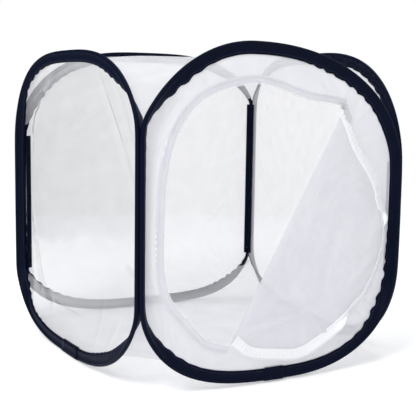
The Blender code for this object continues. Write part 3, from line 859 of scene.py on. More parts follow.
def fill_flat(outline, hole, spacing):
    """An even triangle mesh inside a 2-D outline, and outside a hole.

    Gives its points, its triangles and, for each point, the border points that it came from."""
    rim = [tuple(p) for p in outline]
    points = list(rim)
    edges = [(i, (i + 1) % len(rim)) for i in range(len(rim))]
    if hole:
        base = len(points)
        points += [tuple(p) for p in hole]
        edges += [(base + i, base + (i + 1) % len(hole)) for i in range(len(hole))]
    borders = np.array(points)
    low, high = borders.min(0), borders.max(0)
    rows = int((high[1] - low[1]) / (spacing * ROW_SHARE)) + 1
    columns = int((high[0] - low[0]) / spacing) + 1
    for row in range(rows):
        z = low[1] + (row + 0.5) * spacing * ROW_SHARE
        for column in range(columns):
            x = low[0] + (column + (0.25 if row % 2 else 0.75)) * spacing
            if from_border(borders, (x, z)) < spacing * EDGE_ROOM:
                continue
            if inside((x, z), rim) and not (hole and inside((x, z), hole)):
                points.append((x, z))
    found = geometry.delaunay_2d_cdt([Vector(p) for p in points], edges, [], 1, 1e-7)
    flat = np.array([tuple(v) for v in found[0]])
    faces = [tuple(f) for f in found[2]]
    if hole:
        faces = [f for f in faces if not inside(tuple(flat[list(f)].mean(0)), hole)]
    return flat, faces, found[3]


SETTLE_ROUNDS = 500


def settle(flat, faces, origin, held, pull=0.0, level=0.0):
    """Soap-film depths: border points keep those in held, the others average their neighbours.

    pull from 0 to 1 draws every free point towards a level, for cloth that sags or lies on
    something."""
    count = len(flat)
    came = [[k for k in origin[i] if k < len(held)] for i in range(count)]
    fixed = np.array([i for i in range(count) if came[i]])
    depths = np.array([held[near[0]] for near in came if near])
    pairs = set()
    for face in faces:
        for a, b in zip(face, face[1:] + face[:1]):
            pairs.add((a, b))
            pairs.add((b, a))
    pairs = np.array(sorted(pairs))
    degree = np.bincount(pairs[:, 0], minlength=count)
    depth = np.full(count, float(np.mean(depths)))
    depth[fixed] = depths
    if pull:
        depth[:] = level
        depth[fixed] = depths
    for _ in range(SETTLE_ROUNDS):
        total = np.bincount(pairs[:, 0], weights=depth[pairs[:, 1]], minlength=count)
        free = (total / np.maximum(degree, 1)) * (1 - pull) + level * pull
        free[fixed] = depths
        depth = free
    return depth


def sheet_shape(flat, faces, lift):
    """A bmesh of a sheet: lift turns row i of flat into its place, and flat is its UV map."""
    shape = bmesh.new()
    cloth_map = shape.loops.layers.uv.new("cloth")
    verts = [shape.verts.new(lift(i)) for i in range(len(flat))]
    for face in faces:
        lay(shape, cloth_map, [verts[i] for i in face], [flat[i] for i in face])
    return shape


def flat_area(flat, faces):
    """The area of a flat triangle mesh."""
    total = 0.0
    for a, b, c in faces:
        (x1, y1), (x2, y2), (x3, y3) = flat[a], flat[b], flat[c]
        total += abs((x2 - x1) * (y3 - y1) - (x3 - x1) * (y2 - y1)) / 2
    return total


def declare(piece, flat, faces, slack=1.0):
    """Prints the size and vertex count of the sheet as it lies flat, and gives the piece back.

    slack is not used: the area that it scales goes nowhere."""
    size = flat.max(0) - flat.min(0)
    area = float(flat_area(flat, faces))
    if slack != 1.0:
        area = min(area * slack, float(size[0] * size[1]))
    print(piece.name, "flat size in mm:", (size / MM).round(), "vertices:", len(flat))
    return piece


def soft_noise(points, scale, seed):
    """Slow unevenness between -1 and 1, the same on each run."""
    return np.array([noise.noise(Vector((x / scale, z / scale, seed))) for x, z in points])


print("sheet helpers ready")

# %% [markdown]
# ## Side walls
# Each wall's edge is held in the mouth of its tape, so the tapes stand round the cloth like rims
# round a drum, and from inside they show through one layer of net.

# %% Wall builder
WALL_SPACING = 4.0 * MM
LAP_FROM = -20 * MM
LAP_TO = 50 * MM
LAP_WIDTH = 9 * MM
LAP_DEPTH = 1.9 * MM
EDGE_HIDDEN = 0.3 * MM
WALL_NOISE = (55 * MM, 3.1)


def over_tape(ring, s):
    """From 0 to 1: how far the nets lap over the back ring's tape, towards the film window."""
    if ring.side != "back":
        return 0.0
    return smooth_step(min(max((s["flat"].x - LAP_FROM) / (LAP_TO - LAP_FROM), 0), 1))


def wall_rim(ring):
    """The wall's edge, in the mouth of the tape or lapped over its inner ply.

    Gives its outline in the ring's plane, and how far inward each of its points lies."""
    rim = []
    for s in ring.stations:
        lap = over_tape(ring, s)
        reach = TAPE_REACH + s["gather"] - EDGE_HIDDEN - LAP_WIDTH * lap
        rim.append(s["wire"] + s["legs"] * reach + s["side"] * (LAP_DEPTH * lap))
    outline = [((p - ring.middle).dot(ring.across), p.z) for p in rim]
    return outline, [(p - ring.middle).dot(ring.inward) for p in rim]


def on_ring(ring, flat, faces, depth):
    """A sheet that hangs in a ring's plane, each point moved inward by its depth."""
    places = [
        ring.middle + ring.across * x + UP * z + ring.inward * d
        for (x, z), d in zip(flat, depth)
    ]
    return sheet_shape(flat, faces, lambda i: places[i])


def make_wall(ring, name, material, node, creases, billow, rough):
    """A taut wall over the whole ring, with its creases: depth counts inward."""
    outline, depths = wall_rim(ring)
    flat, faces, origin = fill_flat(outline, None, WALL_SPACING)
    depth = settle(flat, faces, origin, depths)
    depth += crease_depth(flat, creases)
    middle = np.array([0, CAGE_HEIGHT / 2])
    reach = np.linalg.norm((flat - middle) / (ring.half_width, CAGE_HEIGHT / 2), axis=1)
    slack = np.clip(1 - reach**2, 0, 1)
    depth += billow * slack + rough * slack * soft_noise(flat, *WALL_NOISE)
    wall = add_piece(name, on_ring(ring, flat, faces, depth), material, [node])
    return declare(wall, flat, faces)


# %% Walls
BACK_CREASES = (
    (-150, 170, -110, 130, 3.0, 1.6),
    (-195, 250, -120, 215, 5.0, 1.0),
    (-120, 300, -40, 345, 8.0, 1.0),
    (-60, 40, 30, 75, 7.0, -1.2),
    (60, 330, 130, 250, 7.0, 1.2),
)
RIGHT_CREASES = (
    (150, 330, 90, 200, 6.0, 1.8),
    (120, 345, 60, 240, 7.0, -1.4),
    (175, 300, 140, 160, 5.0, 1.5),
    (165, 110, 100, 170, 6.0, -1.2),
    (60, 330, 0, 250, 8.0, 1.2),
)
FILM_CREASES = (
    (92, 366, 184, 216, 3.0, 2.4),
    (132, 362, 184, 250, 2.5, 1.8),
    (158, 148, 184, 138, 2.5, 1.6),
    (104, 96, 84, 36, 2.0, 2.0),
    (152, 86, 116, 34, 2.5, 1.6),
    (-38, 372, -150, 300, 5.0, 2.6),
    (-70, 366, -158, 270, 3.0, -2.0),
    (-156, 250, -140, 330, 3.0, 1.8),
    (-150, 150, -110, 60, 4.0, 2.2),
    (-160, 190, -130, 100, 2.5, -1.8),
    (-130, 90, -60, 50, 4.0, 1.8),
    (-100, 60, 60, 62, 3.0, 1.2),
)
WALLS = (
    ("back", "back_net", white_net, "white_mesh", "back_panel", BACK_CREASES, 2, 1.2),
    ("right", "right_net", white_net, "white_mesh", "right_panel", RIGHT_CREASES, 3, 1.5),
    ("left", "film_window", clear_film, "clear_film", "left_window", FILM_CREASES, 1, 0.8),
)
for side, name, material, slot, node, creases, billow, rough in WALLS:
    make_wall(rings[side], name, material, node, creases, billow * MM, rough * MM)

# %% [markdown]
# ## Top and floor
# The top and the floor have no rings of their own. They hang between the four, and at each corner
# they run down or up into the notch where the rings part. In between the top sags below the rings'
# tops, and the floor lies close to the ground.


# %% Caps
CAP_SPACING = 5.5 * MM
TAIL_FOOT = 50 * MM
NOTCH_END = 4.0 * MM
CAP_EASE = 60 * MM
CAP_NOISE_SCALE = 50 * MM
CAP_NOISE_SEED = 1.7
GROUND_ROOM = 0.35 * MM
SAG_SHARE = 1.02


def cap_rim(top_side):
    """The cap's edge: in the tapes' mouths beside the walls' edges, and into each notch."""
    rim = []
    step = 0.15 * MM
    for ring in rings.values():
        arc = []
        for s in ring.stations:
            flat = s["flat"]
            low, high = ring.seam_heights(1 if flat.x >= 0 else -1)
            beyond = flat.z > high if top_side else flat.z < low
            if beyond and abs(flat.x) < ring.half_width - NOTCH_END:
                reach = TAPE_REACH + s["gather"] + 0.2 * MM
                forward = step + 2.4 * MM * over_tape(ring, s)
                # The binding's turned foot leaves this part of the back tape bare.
                if ring.side == "back" and flat.x < 0 and not top_side and flat.z > TAIL_FOOT:
                    reach, forward = 2.6 * MM, 2.0 * MM
                arc.append((flat.x, s["wire"] + s["legs"] * reach + s["side"] * forward))
        arc.sort(key=lambda item: item[0])
        rim += [point for _, point in arc]
    return rim


def make_cap(name, node, top_side, pull, level, rough):
    rim = cap_rim(top_side)
    outline = [(p.x, p.y) for p in rim]
    flat, faces, origin = fill_flat(outline, None, CAP_SPACING)
    depth = settle(flat, faces, origin, [p.z for p in rim], pull, level)
    border = np.array(outline)
    for i, point in enumerate(flat):
        ease = min(from_border(border, point) / CAP_EASE, 1)
        depth[i] += rough * ease * noise.noise(
            Vector((*(point / CAP_NOISE_SCALE), CAP_NOISE_SEED))
        )
    depth = np.maximum(depth, GROUND_ROOM)
    shape = sheet_shape(flat, faces, lambda i: Vector((*flat[i], depth[i])))
    cap = add_piece(name, shape, white_net, [node])
    return declare(cap, flat, faces, slack=SAG_SHARE)


make_cap("top_net", "top_panel", True, 0.015, 384 * MM, 1.5 * MM)
make_cap("floor_net", "floor_panel", False, 0.003, 6 * MM, 0.8 * MM)

# %% [markdown]
# ## Corner bindings inside
# A strip of the same navy tape covers each sewn corner on the inside. The back right one shows
# through the door. Its foot turns along the back ring for a few centimetres and is cut off
# slanting.

# %% Corner bindings
# How wide each strip is, in mm, on the wall that ends at the corner and on the one that starts
# there.
BINDING_WINGS = {
    "front_left": (4, 1.5),
    "front_right": (1.5, 4),
    "back_right": (10, 7.5),
    "back_left": (7, 7),
}
BINDING_PLY = 0.5 * MM
BINDING_INSET = 2 * MM
BINDING_ROWS = 30


def make_binding(corner):
    ending = next(r for r in rings.values() if r.end == corner)
    starting = next(r for r in rings.values() if r.start == corner)
    lean = starting.lean_at_seam(-1)
    depth = TAPE_REACH * math.sin(lean) + 1.6 * MM
    foot_a = ending.middle + ending.inward * depth
    foot_b = starting.middle + starting.inward * depth
    gap = foot_b - foot_a
    cross = ending.across.x * starting.across.y - ending.across.y * starting.across.x
    share = (gap.x * starting.across.y - gap.y * starting.across.x) / cross
    foot = foot_a + ending.across * share
    wing_a, wing_b = -ending.across, starting.across
    wide_a, wide_b = (width * MM for width in BINDING_WINGS[corner])
    ply = (wing_a + wing_b).normalized() * BINDING_PLY
    low, high = (s * CAGE_HEIGHT for s in SEAM_SHARES[corner])
    # Round the strip's section: out along the side against the walls, and back along the other.
    steps = ((wing_a, wide_a, 1), (wing_a, wide_a, 0.5), (wing_b, wide_b, 0.5), (wing_b, wide_b, 1))
    near = [foot + wing * wide * share + ply * rise
            for (wing, wide, share), rise in zip(steps, (0, 0.4, 0.4, 0))]
    far = [foot + wing * wide * share + ply * rise
           for (wing, wide, share), rise in zip(steps, (1, 1.7, 1.7, 1))]
    outline = near[:2] + [foot + ply * 0.6] + near[2:]
    outline += far[:1:-1] + [foot + ply * 2.0] + far[1::-1]
    section = [(p.x, p.y) for p in outline]
    low, room = low + BINDING_INSET, high - low - 2 * BINDING_INSET
    heights = [low + room * k / BINDING_ROWS for k in range(BINDING_ROWS + 1)]
    east, north = Vector((1, 0, 0)), Vector((0, 1, 0))
    frames = [(UP * z, east, north, z) for z in heights]
    shape = sweep(frames, lambda f: section, False)
    nodes = ["corner_binding_" + corner]
    return add_piece("inner_binding_" + corner, shape, navy_polyester, nodes)


bindings = [make_binding(corner) for corner in CORNER_PLAN]
print("corner bindings:", len(bindings))

# %% Turned foot of the back right binding
TAIL_LENGTH = 27 * MM
TAIL_SLANT = 5 * MM
TAIL_START = 6 * MM
TAIL_LIFT = 0.45 * MM


def make_tail():
    """The strip's last centimetres, lying on the inner ply of the back ring's tape."""
    ring = rings["back"]
    low = ring.seam_heights(-1)[0]
    arc = [s for s in ring.stations if s["flat"].x < 0 and s["flat"].z < low + TAIL_START]
    arc.sort(key=lambda s: -s["flat"].z)
    run, frames = 0.0, []
    lift = TAPE_HALF + TAIL_LIFT
    for near, here in zip([arc[0], *arc], arc):
        run += (here["wire"] - near["wire"]).length
        if run > TAIL_LENGTH:
            break
        frames.append((here["wire"] + here["side"] * lift, here["legs"], here["side"], run))

    def section(frame_here):
        cut = TAIL_SLANT * max(0, frame_here[3] / TAIL_LENGTH - 0.6) / 0.4
        inner, outer = TAPE_REACH + 0.8 * MM, 1.5 * MM + cut
        return [(outer, 0), (inner, 0), (inner, BINDING_PLY), (outer, BINDING_PLY)]

    shape = sweep(frames, section, False)
    return add_piece("inner_binding_tail", shape, navy_polyester, [])


make_tail()
print("tail length in mm:", round(TAIL_LENGTH / MM))

# %% [markdown]
# ## The door's path
# The zip runs along a rounded path from the fold's upper end, round the top, down the left and
# back to the fold's lower end. The real one is a smooth hand-cut curve, so a spline through a few
# points, as shares of the door's width and height, gives it.

# %% Door
DOOR_WIDTH = 235 * MM
DOOR_HEIGHT = 305 * MM
DOOR_LEFT = 147 * MM
DOOR_FOOT = 51 * MM
ZIP_TAPE_WIDTH = 11 * MM
ZIP_TAPE_LAP = 6 * MM
COIL_WIDTH = 1.6 * MM
FOLD_OFFSET = 1.2 * MM
NET_SETBACK = 2.2 * MM
DOOR_EDGE_SHARES = (
    (1.000, 0.902),
    (0.894, 0.915),
    (0.774, 0.927),
    (0.591, 0.970),
    (0.451, 0.984),
    (0.268, 0.950),
    (0.145, 0.892),
    (0.055, 0.787),
    (0.013, 0.659),
    (0.000, 0.505),
    (0.000, 0.325),
    (0.034, 0.210),
    (0.123, 0.121),
    (0.234, 0.033),
    (0.353, 0.000),
)
ZIP_STATIONS = 150
ZIP_FINE = 300
SPLINE_STEPS = 40
PATH_SPAN = (8, 7)
FOLD_STEPS = 60
front_ring = rings["front"]
front_depth = front_ring.middle.y


def smooth_path(points, count):
    """Even stations on a Catmull-Rom curve, as (point, outward direction, length so far)."""
    ends = [points[0] * 2 - points[1], *points, points[-1] * 2 - points[-2]]
    fine = []
    for a, b, c, d in zip(ends, ends[1:], ends[2:], ends[3:]):
        for i in range(SPLINE_STEPS):
            t = i / SPLINE_STEPS
            fine.append(
                (b * 2 + (c - a) * t + (a * 2 - b * 5 + c * 4 - d) * t * t
                 + (b * 3 - a - c * 3 + d) * t * t * t) / 2
            )
    fine.append(points[-1])
    run = [0.0]
    for near, far in zip(fine, fine[1:]):
        run.append(run[-1] + (far - near).length)
    stations = []
    i = 0
    for k in range(count + 1):
        wanted = run[-1] * k / count
        while i < len(fine) - 2 and run[i + 1] < wanted:
            i += 1
        here = fine[i].lerp(fine[i + 1], (wanted - run[i]) / (run[i + 1] - run[i]))
        ahead, behind = min(i + PATH_SPAN[0], len(fine) - 1), max(i - PATH_SPAN[1], 0)
        way = (fine[ahead] - fine[behind]).normalized()
        stations.append((here, Vector((way.z, 0, -way.x)), wanted))
    return stations


door_points = [
    Vector((u * DOOR_WIDTH - DOOR_LEFT, 0, v * DOOR_HEIGHT + DOOR_FOOT))
    for u, v in DOOR_EDGE_SHARES
]
fold_upper, fold_lower = door_points[0], door_points[-1]
fold_way = (fold_lower - fold_upper).normalized()
fold_points = [
    fold_lower + (fold_upper - fold_lower) * (k / FOLD_STEPS) for k in range(1, FOLD_STEPS)
]
zip_path = smooth_path(door_points, ZIP_STATIONS)
zip_fine = smooth_path(door_points, ZIP_FINE)
zip_length = zip_path[-1][2]
fold_length = (fold_lower - fold_upper).length
print("zip length in mm:", round(zip_length / MM), "fold length:", round(fold_length / MM))


def at_depth(flat, forward=0.0):
    """A point of the front ring's plane, moved towards the front."""
    return Vector((flat.x, front_depth - forward, flat.z))


# %% [markdown]
# ## Front net
# The front wall is the same net with the doorway cut out of it. It is sewn over the zip's tape, and
# small pleats run from the fold's upper end to the ring.

# %% Front net
FRONT_CREASES = (
    (66, 357, 84, 330, 2.5, 1.8),
    (84, 362, 90, 332, 2.0, -1.4),
    (98, 350, 94, 330, 2.0, 1.6),
    (50, 368, 70, 335, 3.0, 1.2),
    (115, 340, 100, 322, 2.5, 1.4),
    (130, 330, 105, 310, 3.0, -1.2),
    (150, 300, 112, 290, 3.5, 1.2),
    (-140, 330, -110, 340, 3.0, 1.6),
    (-150, 310, -128, 305, 3.0, 1.5),
    (-100, 355, -90, 345, 3.0, 1.3),
    (-165, 290, -145, 275, 3.0, 1.2),
    (120, 52, 90, 75, 3.0, 1.8),
    (135, 62, 105, 85, 3.0, 1.8),
    (145, 80, 118, 100, 3.0, 1.8),
    (152, 100, 125, 118, 3.5, 1.6),
    (100, 42, 70, 60, 3.5, 1.4),
    (158, 130, 140, 150, 4.0, 1.4),
    (-168, 250, -150, 240, 3.0, 1.0),
)


NET_EASE = 14 * MM
NET_NOISE = (38 * MM, 5.3)
NET_ROUGH = 0.9 * MM
OFF_TAPE_EASE = 9 * MM


def make_front_net():
    outline, depths = wall_rim(front_ring)
    hole = [p + out * NET_SETBACK for p, out, _ in zip_path]
    hole = [(p.x, p.z) for p in hole + fold_points]
    flat, faces, origin = fill_flat(outline, hole, WALL_SPACING)
    depth = settle(flat, faces, origin, depths + [0.0] * len(hole))
    # Over the zip's tape the net lies flat.
    doorway = np.array(hole)
    beyond = np.array([from_border(doorway, p) for p in flat])
    off_tape = np.clip((beyond - ZIP_TAPE_WIDTH + NET_SETBACK) / OFF_TAPE_EASE, 0, 1)
    depth *= smooth_step(off_tape)
    border = np.array([*outline, *hole])
    ease = np.array([min(from_border(border, p) / NET_EASE, 1) for p in flat])
    ease *= off_tape
    depth += ease * crease_depth(flat, FRONT_CREASES)
    depth += ease * NET_ROUGH * soft_noise(flat, *NET_NOISE)
    shape = on_ring(front_ring, flat, faces, depth)
    net = add_piece("front_net", shape, front_white_net, ["front_panel"])
    return declare(net, flat, faces)


make_front_net()

# %% [markdown]
# ## Folding the door open
# The flap and its half of the zip are made as the door lies shut, and then turn over the fold line.
# The real flap would reach past the ring there, so it is drawn in, most of all half-way round, and
# its slack stands out towards the viewer. How far it still reaches is given by the angle round the
# middle of the fold, counted from straight right.

# %% Fold
FLAP_REACH_SHARES = (
    (-119, 1.00),
    (-90, 0.99),
    (-70, 0.98),
    (-55, 0.98),
    (-40, 0.945),
    (-30, 0.885),
    (-18, 0.825),
    (0, 0.79),
    (12, 0.785),
    (22, 0.84),
    (35, 0.895),
    (50, 0.94),
    (61, 1.00),
)
SLACK_DEPTH = 60 * MM
fold_middle = (fold_upper + fold_lower) / 2


def turned_over(point):
    """A point of the shut door, turned about the fold line."""
    origin = at_depth(fold_upper, FOLD_OFFSET)
    return origin + Matrix.Rotation(math.pi, 3, fold_way) @ (point - origin)


def polar(point):
    """Where a point stands round the fold's middle: angle in degrees, distance."""
    across, up = point.x - fold_middle.x, point.z - fold_middle.z
    return math.degrees(math.atan2(up, across)), math.hypot(across, up)


edge_polar = sorted(polar(turned_over(at_depth(p))) for p, _, _ in zip_path)
edge_angles, edge_reach = (np.array(c) for c in zip(*edge_polar))


def opened(point):
    """A point of the shut flap, turned over the fold line, drawn in and slack."""
    moved = turned_over(point)
    angle, reach = polar(moved)
    share = float(np.interp(angle, *zip(*FLAP_REACH_SHARES)))
    outward = min(reach / float(np.interp(angle, edge_angles, edge_reach)), 1.0)
    moved.x = fold_middle.x + (moved.x - fold_middle.x) * share
    moved.z = fold_middle.z + (moved.z - fold_middle.z) * share
    moved.y -= SLACK_DEPTH * (1 - share) * 4 * outward**2 * (1 - outward)
    return moved


# %% [markdown]
# ## Flap
# The flap is net like the walls. A mesh of even triangles fills its shape, and after folding it
# gets the slack folds that the photograph shows near its lower end and along its right side.

# %% Flap
FLAP_CREASES = (
    (-55, 60, 25, 75, 3.0, 1.6),
    (-45, 72, 40, 82, 3.5, -1.3),
    (40, 82, 75, 45, 3.0, 1.6),
    (-10, 100, 30, 95, 3.0, 1.0),
    (120, 150, 150, 215, 6.0, 2.0),
    (100, 110, 140, 150, 5.0, 1.6),
    (20, 130, 60, 250, 9.0, 1.2),
    (60, 120, 95, 220, 9.0, -1.2),
)


FLAP_EASE = 12 * MM
FLAP_NOISE = (45 * MM, 9.2)


def make_flap():
    edge = [p - out * (ZIP_TAPE_WIDTH - ZIP_TAPE_LAP) for p, out, _ in zip_path]
    outline = [(p.x, p.z) for p in edge + fold_points]
    flat, faces, _ = fill_flat(outline, None, WALL_SPACING)
    border = np.array(outline)
    opened_places = [opened(Vector((x, front_depth, z))) for x, z in flat]
    seen = np.array([(p.x, p.z) for p in opened_places])
    ease = np.array([min(from_border(border, p) / FLAP_EASE, 1) for p in flat])
    depth = ease * crease_depth(seen, FLAP_CREASES) + ease * MM * soft_noise(seen, *FLAP_NOISE)
    places = [p + FRONT * d for p, d in zip(opened_places, depth)]
    shape = sheet_shape(flat, faces, lambda i: places[i])
    nodes = ["door_flap"]
    net = add_piece("door_net", shape, front_white_net, nodes, body="flap")
    return declare(net, flat, faces)


make_flap()

# %% [markdown]
# ## Zip
# Each half of the zip is a woven tape with a nylon coil along its edge. The coil is one wire wound
# in a flattened spiral, so that is how it is drawn: a tube along a helix that follows the path.

# %% Zip
ZIP_TAPE_PLY = 0.5 * MM
ZIP_FORWARD = -0.35 * MM
COIL_PITCH = 1.5 * MM
COIL_WIRE = 0.28 * MM
COIL_INSET = 0.45 * MM
COIL_RISE = 0.45 * MM
COIL_STEPS = 8
FLAP_HEM = 3.5 * MM
PUCKER = 2.4 * MM
PUCKER_PITCH = 5.5 * MM
PUCKER_DRIFT = 40 * MM
ZIP_WAVE_LENGTH = 17 * MM
ZIP_WAVE = 0.3 * MM
COIL_ROOM = 0.2 * MM
ACROSS_SHARES = (0.0, 0.12, 0.30, 0.5, 0.7, 0.88, 1.0)
# Where the flap's tape is turned over on itself, as (share of the zip's length, turn in degrees).
TURNED_OVER = ((0.0, 0), (0.30, 0), (0.36, 160), (0.62, 165), (0.70, 25), (1.0, 0))


def turn_at(share):
    """How far the flap's tape is turned over at this share of the zip's length, in radians."""
    for (s0, a0), (s1, a1) in zip(TURNED_OVER, TURNED_OVER[1:]):
        if s0 <= share <= s1:
            t = (share - s0) / (s1 - s0)
            return math.radians(a0 + (a1 - a0) * smooth_step(t))
    return 0.0


def make_zip_tape(name, node, sign, body):
    """sign 1 is the fixed half, outside the opening, and -1 the flap's half."""
    shape = bmesh.new()
    cloth_map = shape.loops.layers.uv.new("cloth")
    near, far = COIL_WIDTH + COIL_ROOM, ZIP_TAPE_WIDTH + (0 if sign > 0 else FLAP_HEM)
    rows = []
    for k, (here, outward, run) in enumerate(zip_fine):
        row = []
        for side_of in (1, -1):
            for share in ACROSS_SHARES if side_of > 0 else ACROSS_SHARES[::-1]:
                across = near + (far - near) * share
                wave = -ZIP_WAVE * (1 + math.sin(run / ZIP_WAVE_LENGTH + share * 2)) * share
                if sign < 0:
                    turn = run / PUCKER_PITCH * math.tau + 2 * math.sin(run / PUCKER_DRIFT)
                    wave = -PUCKER * (1 + math.sin(turn)) * share * (1 - share)
                lift = ZIP_FORWARD + side_of * ZIP_TAPE_PLY / 2 + wave
                spot = at_depth(here + outward * across * sign, lift)
                row.append((spot, across))
        spot = k / ZIP_FINE
        rows.append([(shape.verts.new(place_zip(p, sign, here, outward, spot)), a) for p, a in row])
    for k, (one, two) in enumerate(zip(rows, rows[1:])):
        count = len(one)
        for i in range(count):
            j = (i + 1) % count
            start, end = zip_fine[k][2], zip_fine[k + 1][2]
            corners = (one[i], one[j], two[j], two[i])
            spots = [(run, across) for run, (_, across) in zip((start, start, end, end), corners)]
            lay(shape, cloth_map, [corner for corner, _ in corners], spots)
    shape.faces.new([v for v, _ in rows[0]][::-1])
    shape.faces.new([v for v, _ in rows[-1]])
    bmesh.ops.recalc_face_normals(shape, faces=shape.faces)
    return add_piece(name, shape, woven_zip_tape, [node], body=body)


def place_zip(point, sign, here, outward, share):
    """Leaves the fixed half where it is; folds the flap's half open, turning its edge over."""
    if sign > 0:
        return point
    seam = at_depth(here - outward * (ZIP_TAPE_WIDTH - 2 * MM), ZIP_FORWARD)
    angle = -turn_at(share)
    if angle:
        away = point - seam
        way = outward.cross(FRONT).normalized()
        beyond = away.dot(outward)
        if beyond > 0:
            along_way = way * away.dot(way)
            radial = outward * beyond + FRONT * (away.dot(FRONT))
            # Shut, the flap's front faces the viewer; folded open, its back does.
            point = seam + along_way + Matrix.Rotation(angle, 3, way) @ radial
    return opened(point)


def make_coil(name, node, sign, body):
    """A flattened spiral of nylon wire along the zip's edge, as a tube of four sides."""
    turns = int(zip_length / COIL_PITCH)
    centres = []
    for n in range(turns * COIL_STEPS + 1):
        share = n / (turns * COIL_STEPS)
        spot = share * ZIP_FINE
        i = min(int(spot), ZIP_FINE - 1)
        here = zip_fine[i][0].lerp(zip_fine[i + 1][0], spot - i)
        outward = zip_fine[i][1].lerp(zip_fine[i + 1][1], spot - i).normalized()
        angle = math.tau * n / COIL_STEPS
        across = COIL_INSET + (COIL_WIDTH - COIL_INSET) * (0.5 + 0.5 * math.cos(angle))
        lift = ZIP_FORWARD + COIL_RISE * math.sin(angle)
        point = at_depth(here + outward * across * sign, lift)
        centres.append(place_zip(point, sign, here, outward, share))
    shape = bmesh.new()
    rows = []
    for n, centre in enumerate(centres):
        way = (centres[min(n + 1, len(centres) - 1)] - centres[max(n - 1, 0)]).normalized()
        first = way.cross(FRONT).normalized() if abs(way.dot(FRONT)) < 0.99 else way.cross(UP)
        second = way.cross(first).normalized()
        corners = [
            first * math.cos(t) + second * math.sin(t)
            for t in (0, math.pi / 2, math.pi, math.pi * 1.5)
        ]
        rows.append([shape.verts.new(centre + corner * COIL_WIRE) for corner in corners])
    join(shape, rows)
    bmesh.ops.recalc_face_normals(shape, faces=shape.faces)
    return add_piece(name, shape, nylon, [node], body=body)


make_zip_tape("fixed_zip_tape", "zip_tape_fixed", 1, "cage")
make_zip_tape("flap_zip_tape", "zip_tape_flap", -1, "flap")
make_coil("fixed_zip_coil", "zip_coil_fixed", 1, "cage")
make_coil("flap_zip_coil", "zip_coil_flap", -1, "flap")
print("coil turns:", int(zip_length / COIL_PITCH))


# %% Zip stitches
STITCH_FROM_EDGE = 2.8 * MM
ZIP_STITCH_LIFT = 0.3 * MM


def zip_stitch_row(sign):
    """A row through the net and the tape, just inside the tape's outer edge."""
    row = []
    for here, outward, run in zip_fine:
        across = ZIP_TAPE_WIDTH - STITCH_FROM_EDGE
        place = at_depth(here + outward * across * sign, ZIP_STITCH_LIFT)
        if sign < 0:
            place = opened(place)
            row.append((place - FRONT * ZIP_STITCH_LIFT, -FRONT, run))
        else:
            row.append((place, FRONT, run))
    return row


make_stitches("fixed_zip_stitches", zip_stitch_row(1), white_thread)
make_stitches("flap_zip_stitches", zip_stitch_row(-1), white_thread, body="flap")
print("zip stitches sewn")

# %% [markdown]
# ## Slider and pull tab
# Both are die-cast zinc under pale grey paint.

# %% Slider and tab
for node in ("zip_slider", "pull_tab"):
    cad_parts[node].material_slots[0].material = painted_zinc

# %% [markdown]
# ## Floor and light
# A plain white floor under soft studio light. The floor ends a metre behind the cage, and beyond it
# stands a dark flag that only the film's gloss sees, as photographers place one to give clear film
# something to mirror.

# %% Stage
FLOOR_RADIUS = 1.25
FLOOR_LEVEL = -0.2 * MM
floor_mesh = bpy.data.meshes.new("floor")
shape = bmesh.new()
bmesh.ops.create_circle(shape, cap_ends=True, segments=96, radius=FLOOR_RADIUS)
shape.to_mesh(floor_mesh)
shape.free()
floor = link("floor", floor_mesh)
floor.location.z = FLOOR_LEVEL

FLOOR_GLOW = 0.19
white_sweep, tree, surface = new_material("white_paper_floor")
paper = add(tree, "ShaderNodeBsdfDiffuse", {"Color": linear("#f4f4f4")})
glow = add(tree, "ShaderNodeEmission", {"Color": linear("#ffffff"), "Strength": FLOOR_GLOW})
lit_floor = add(tree, "ShaderNodeAddShader", {0: paper.outputs[0], 1: glow.outputs[0]})
tree.links.new(lit_floor.outputs[0], surface)
floor_mesh.materials.append(white_sweep)

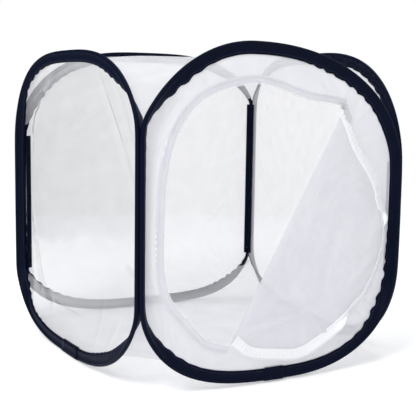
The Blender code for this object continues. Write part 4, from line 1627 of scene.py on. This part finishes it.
world = bpy.data.worlds.new("studio")
bpy.context.scene.world = world
world.use_nodes = True
tree = world.node_tree
tree.nodes.clear()
end = add(tree, "ShaderNodeOutputWorld")
path = add(tree, "ShaderNodeLightPath")
SOFT_LIGHT = 0.72
white = add(tree, "ShaderNodeBackground", {"Color": linear("#ffffff"), "Strength": 1.0})
soft = add(tree, "ShaderNodeBackground", {"Color": linear("#fbfcff"), "Strength": SOFT_LIGHT})
sees = path.outputs["Is Camera Ray"]
for ray in ("Is Glossy Ray", "Is Transmission Ray"):
    sees = add(tree, "ShaderNodeMath", {0: sees, 1: path.outputs[ray]}, operation="MAXIMUM")
    sees = sees.outputs[0]
tree.links.new(mixed(tree, sees, soft.outputs[0], white.outputs[0]), end.inputs["Surface"])


def area_light(name, place, target, size, power):
    light = bpy.data.lights.new(name, "AREA")
    light.shape = "DISK"
    light.size = size
    light.energy = power
    lamp = link(name, light)
    lamp.location = place
    lamp.rotation_euler = (Vector(target) - Vector(place)).to_track_quat("-Z", "Y").to_euler()
    return lamp


# Name, place and size in metres, and power in watts.
LAMPS = (("key", (-1.3, -0.9, 1.7), 0.9, 25), ("top", (0.2, 0.3, 2.0), 1.4, 9))
LAMP_TARGET = (0, 0, 0.2)
for name, place, size, power in LAMPS:
    area_light(name, place, LAMP_TARGET, size, power)

# The dark flag: a tall card behind the left, which nothing but gloss sees.
flag_mesh = bpy.data.meshes.new("flag")
shape = bmesh.new()
FLAG_HALF_WIDTH, FLAG_HEIGHT, FLAG_TURN = 1.5, 3.0, 27.35
FLAG_PLACE = (-0.62, 0.82, 0)
corners = ((-1, 0), (1, 0), (1, 1), (-1, 1))
shape.faces.new(
    [shape.verts.new((x * FLAG_HALF_WIDTH, 0, z * FLAG_HEIGHT)) for x, z in corners]
)
shape.to_mesh(flag_mesh)
shape.free()
flag = link("flag", flag_mesh)
flag.location = FLAG_PLACE
flag.rotation_euler.z = math.radians(FLAG_TURN)
flag_mesh.materials.append(plain_material("dark_felt_flag", "#2c2c2e", 0.9, 20.0))
for kind in ("camera", "diffuse", "transmission", "volume_scatter", "shadow"):
    setattr(flag, "visible_" + kind, False)
print("stage ready")
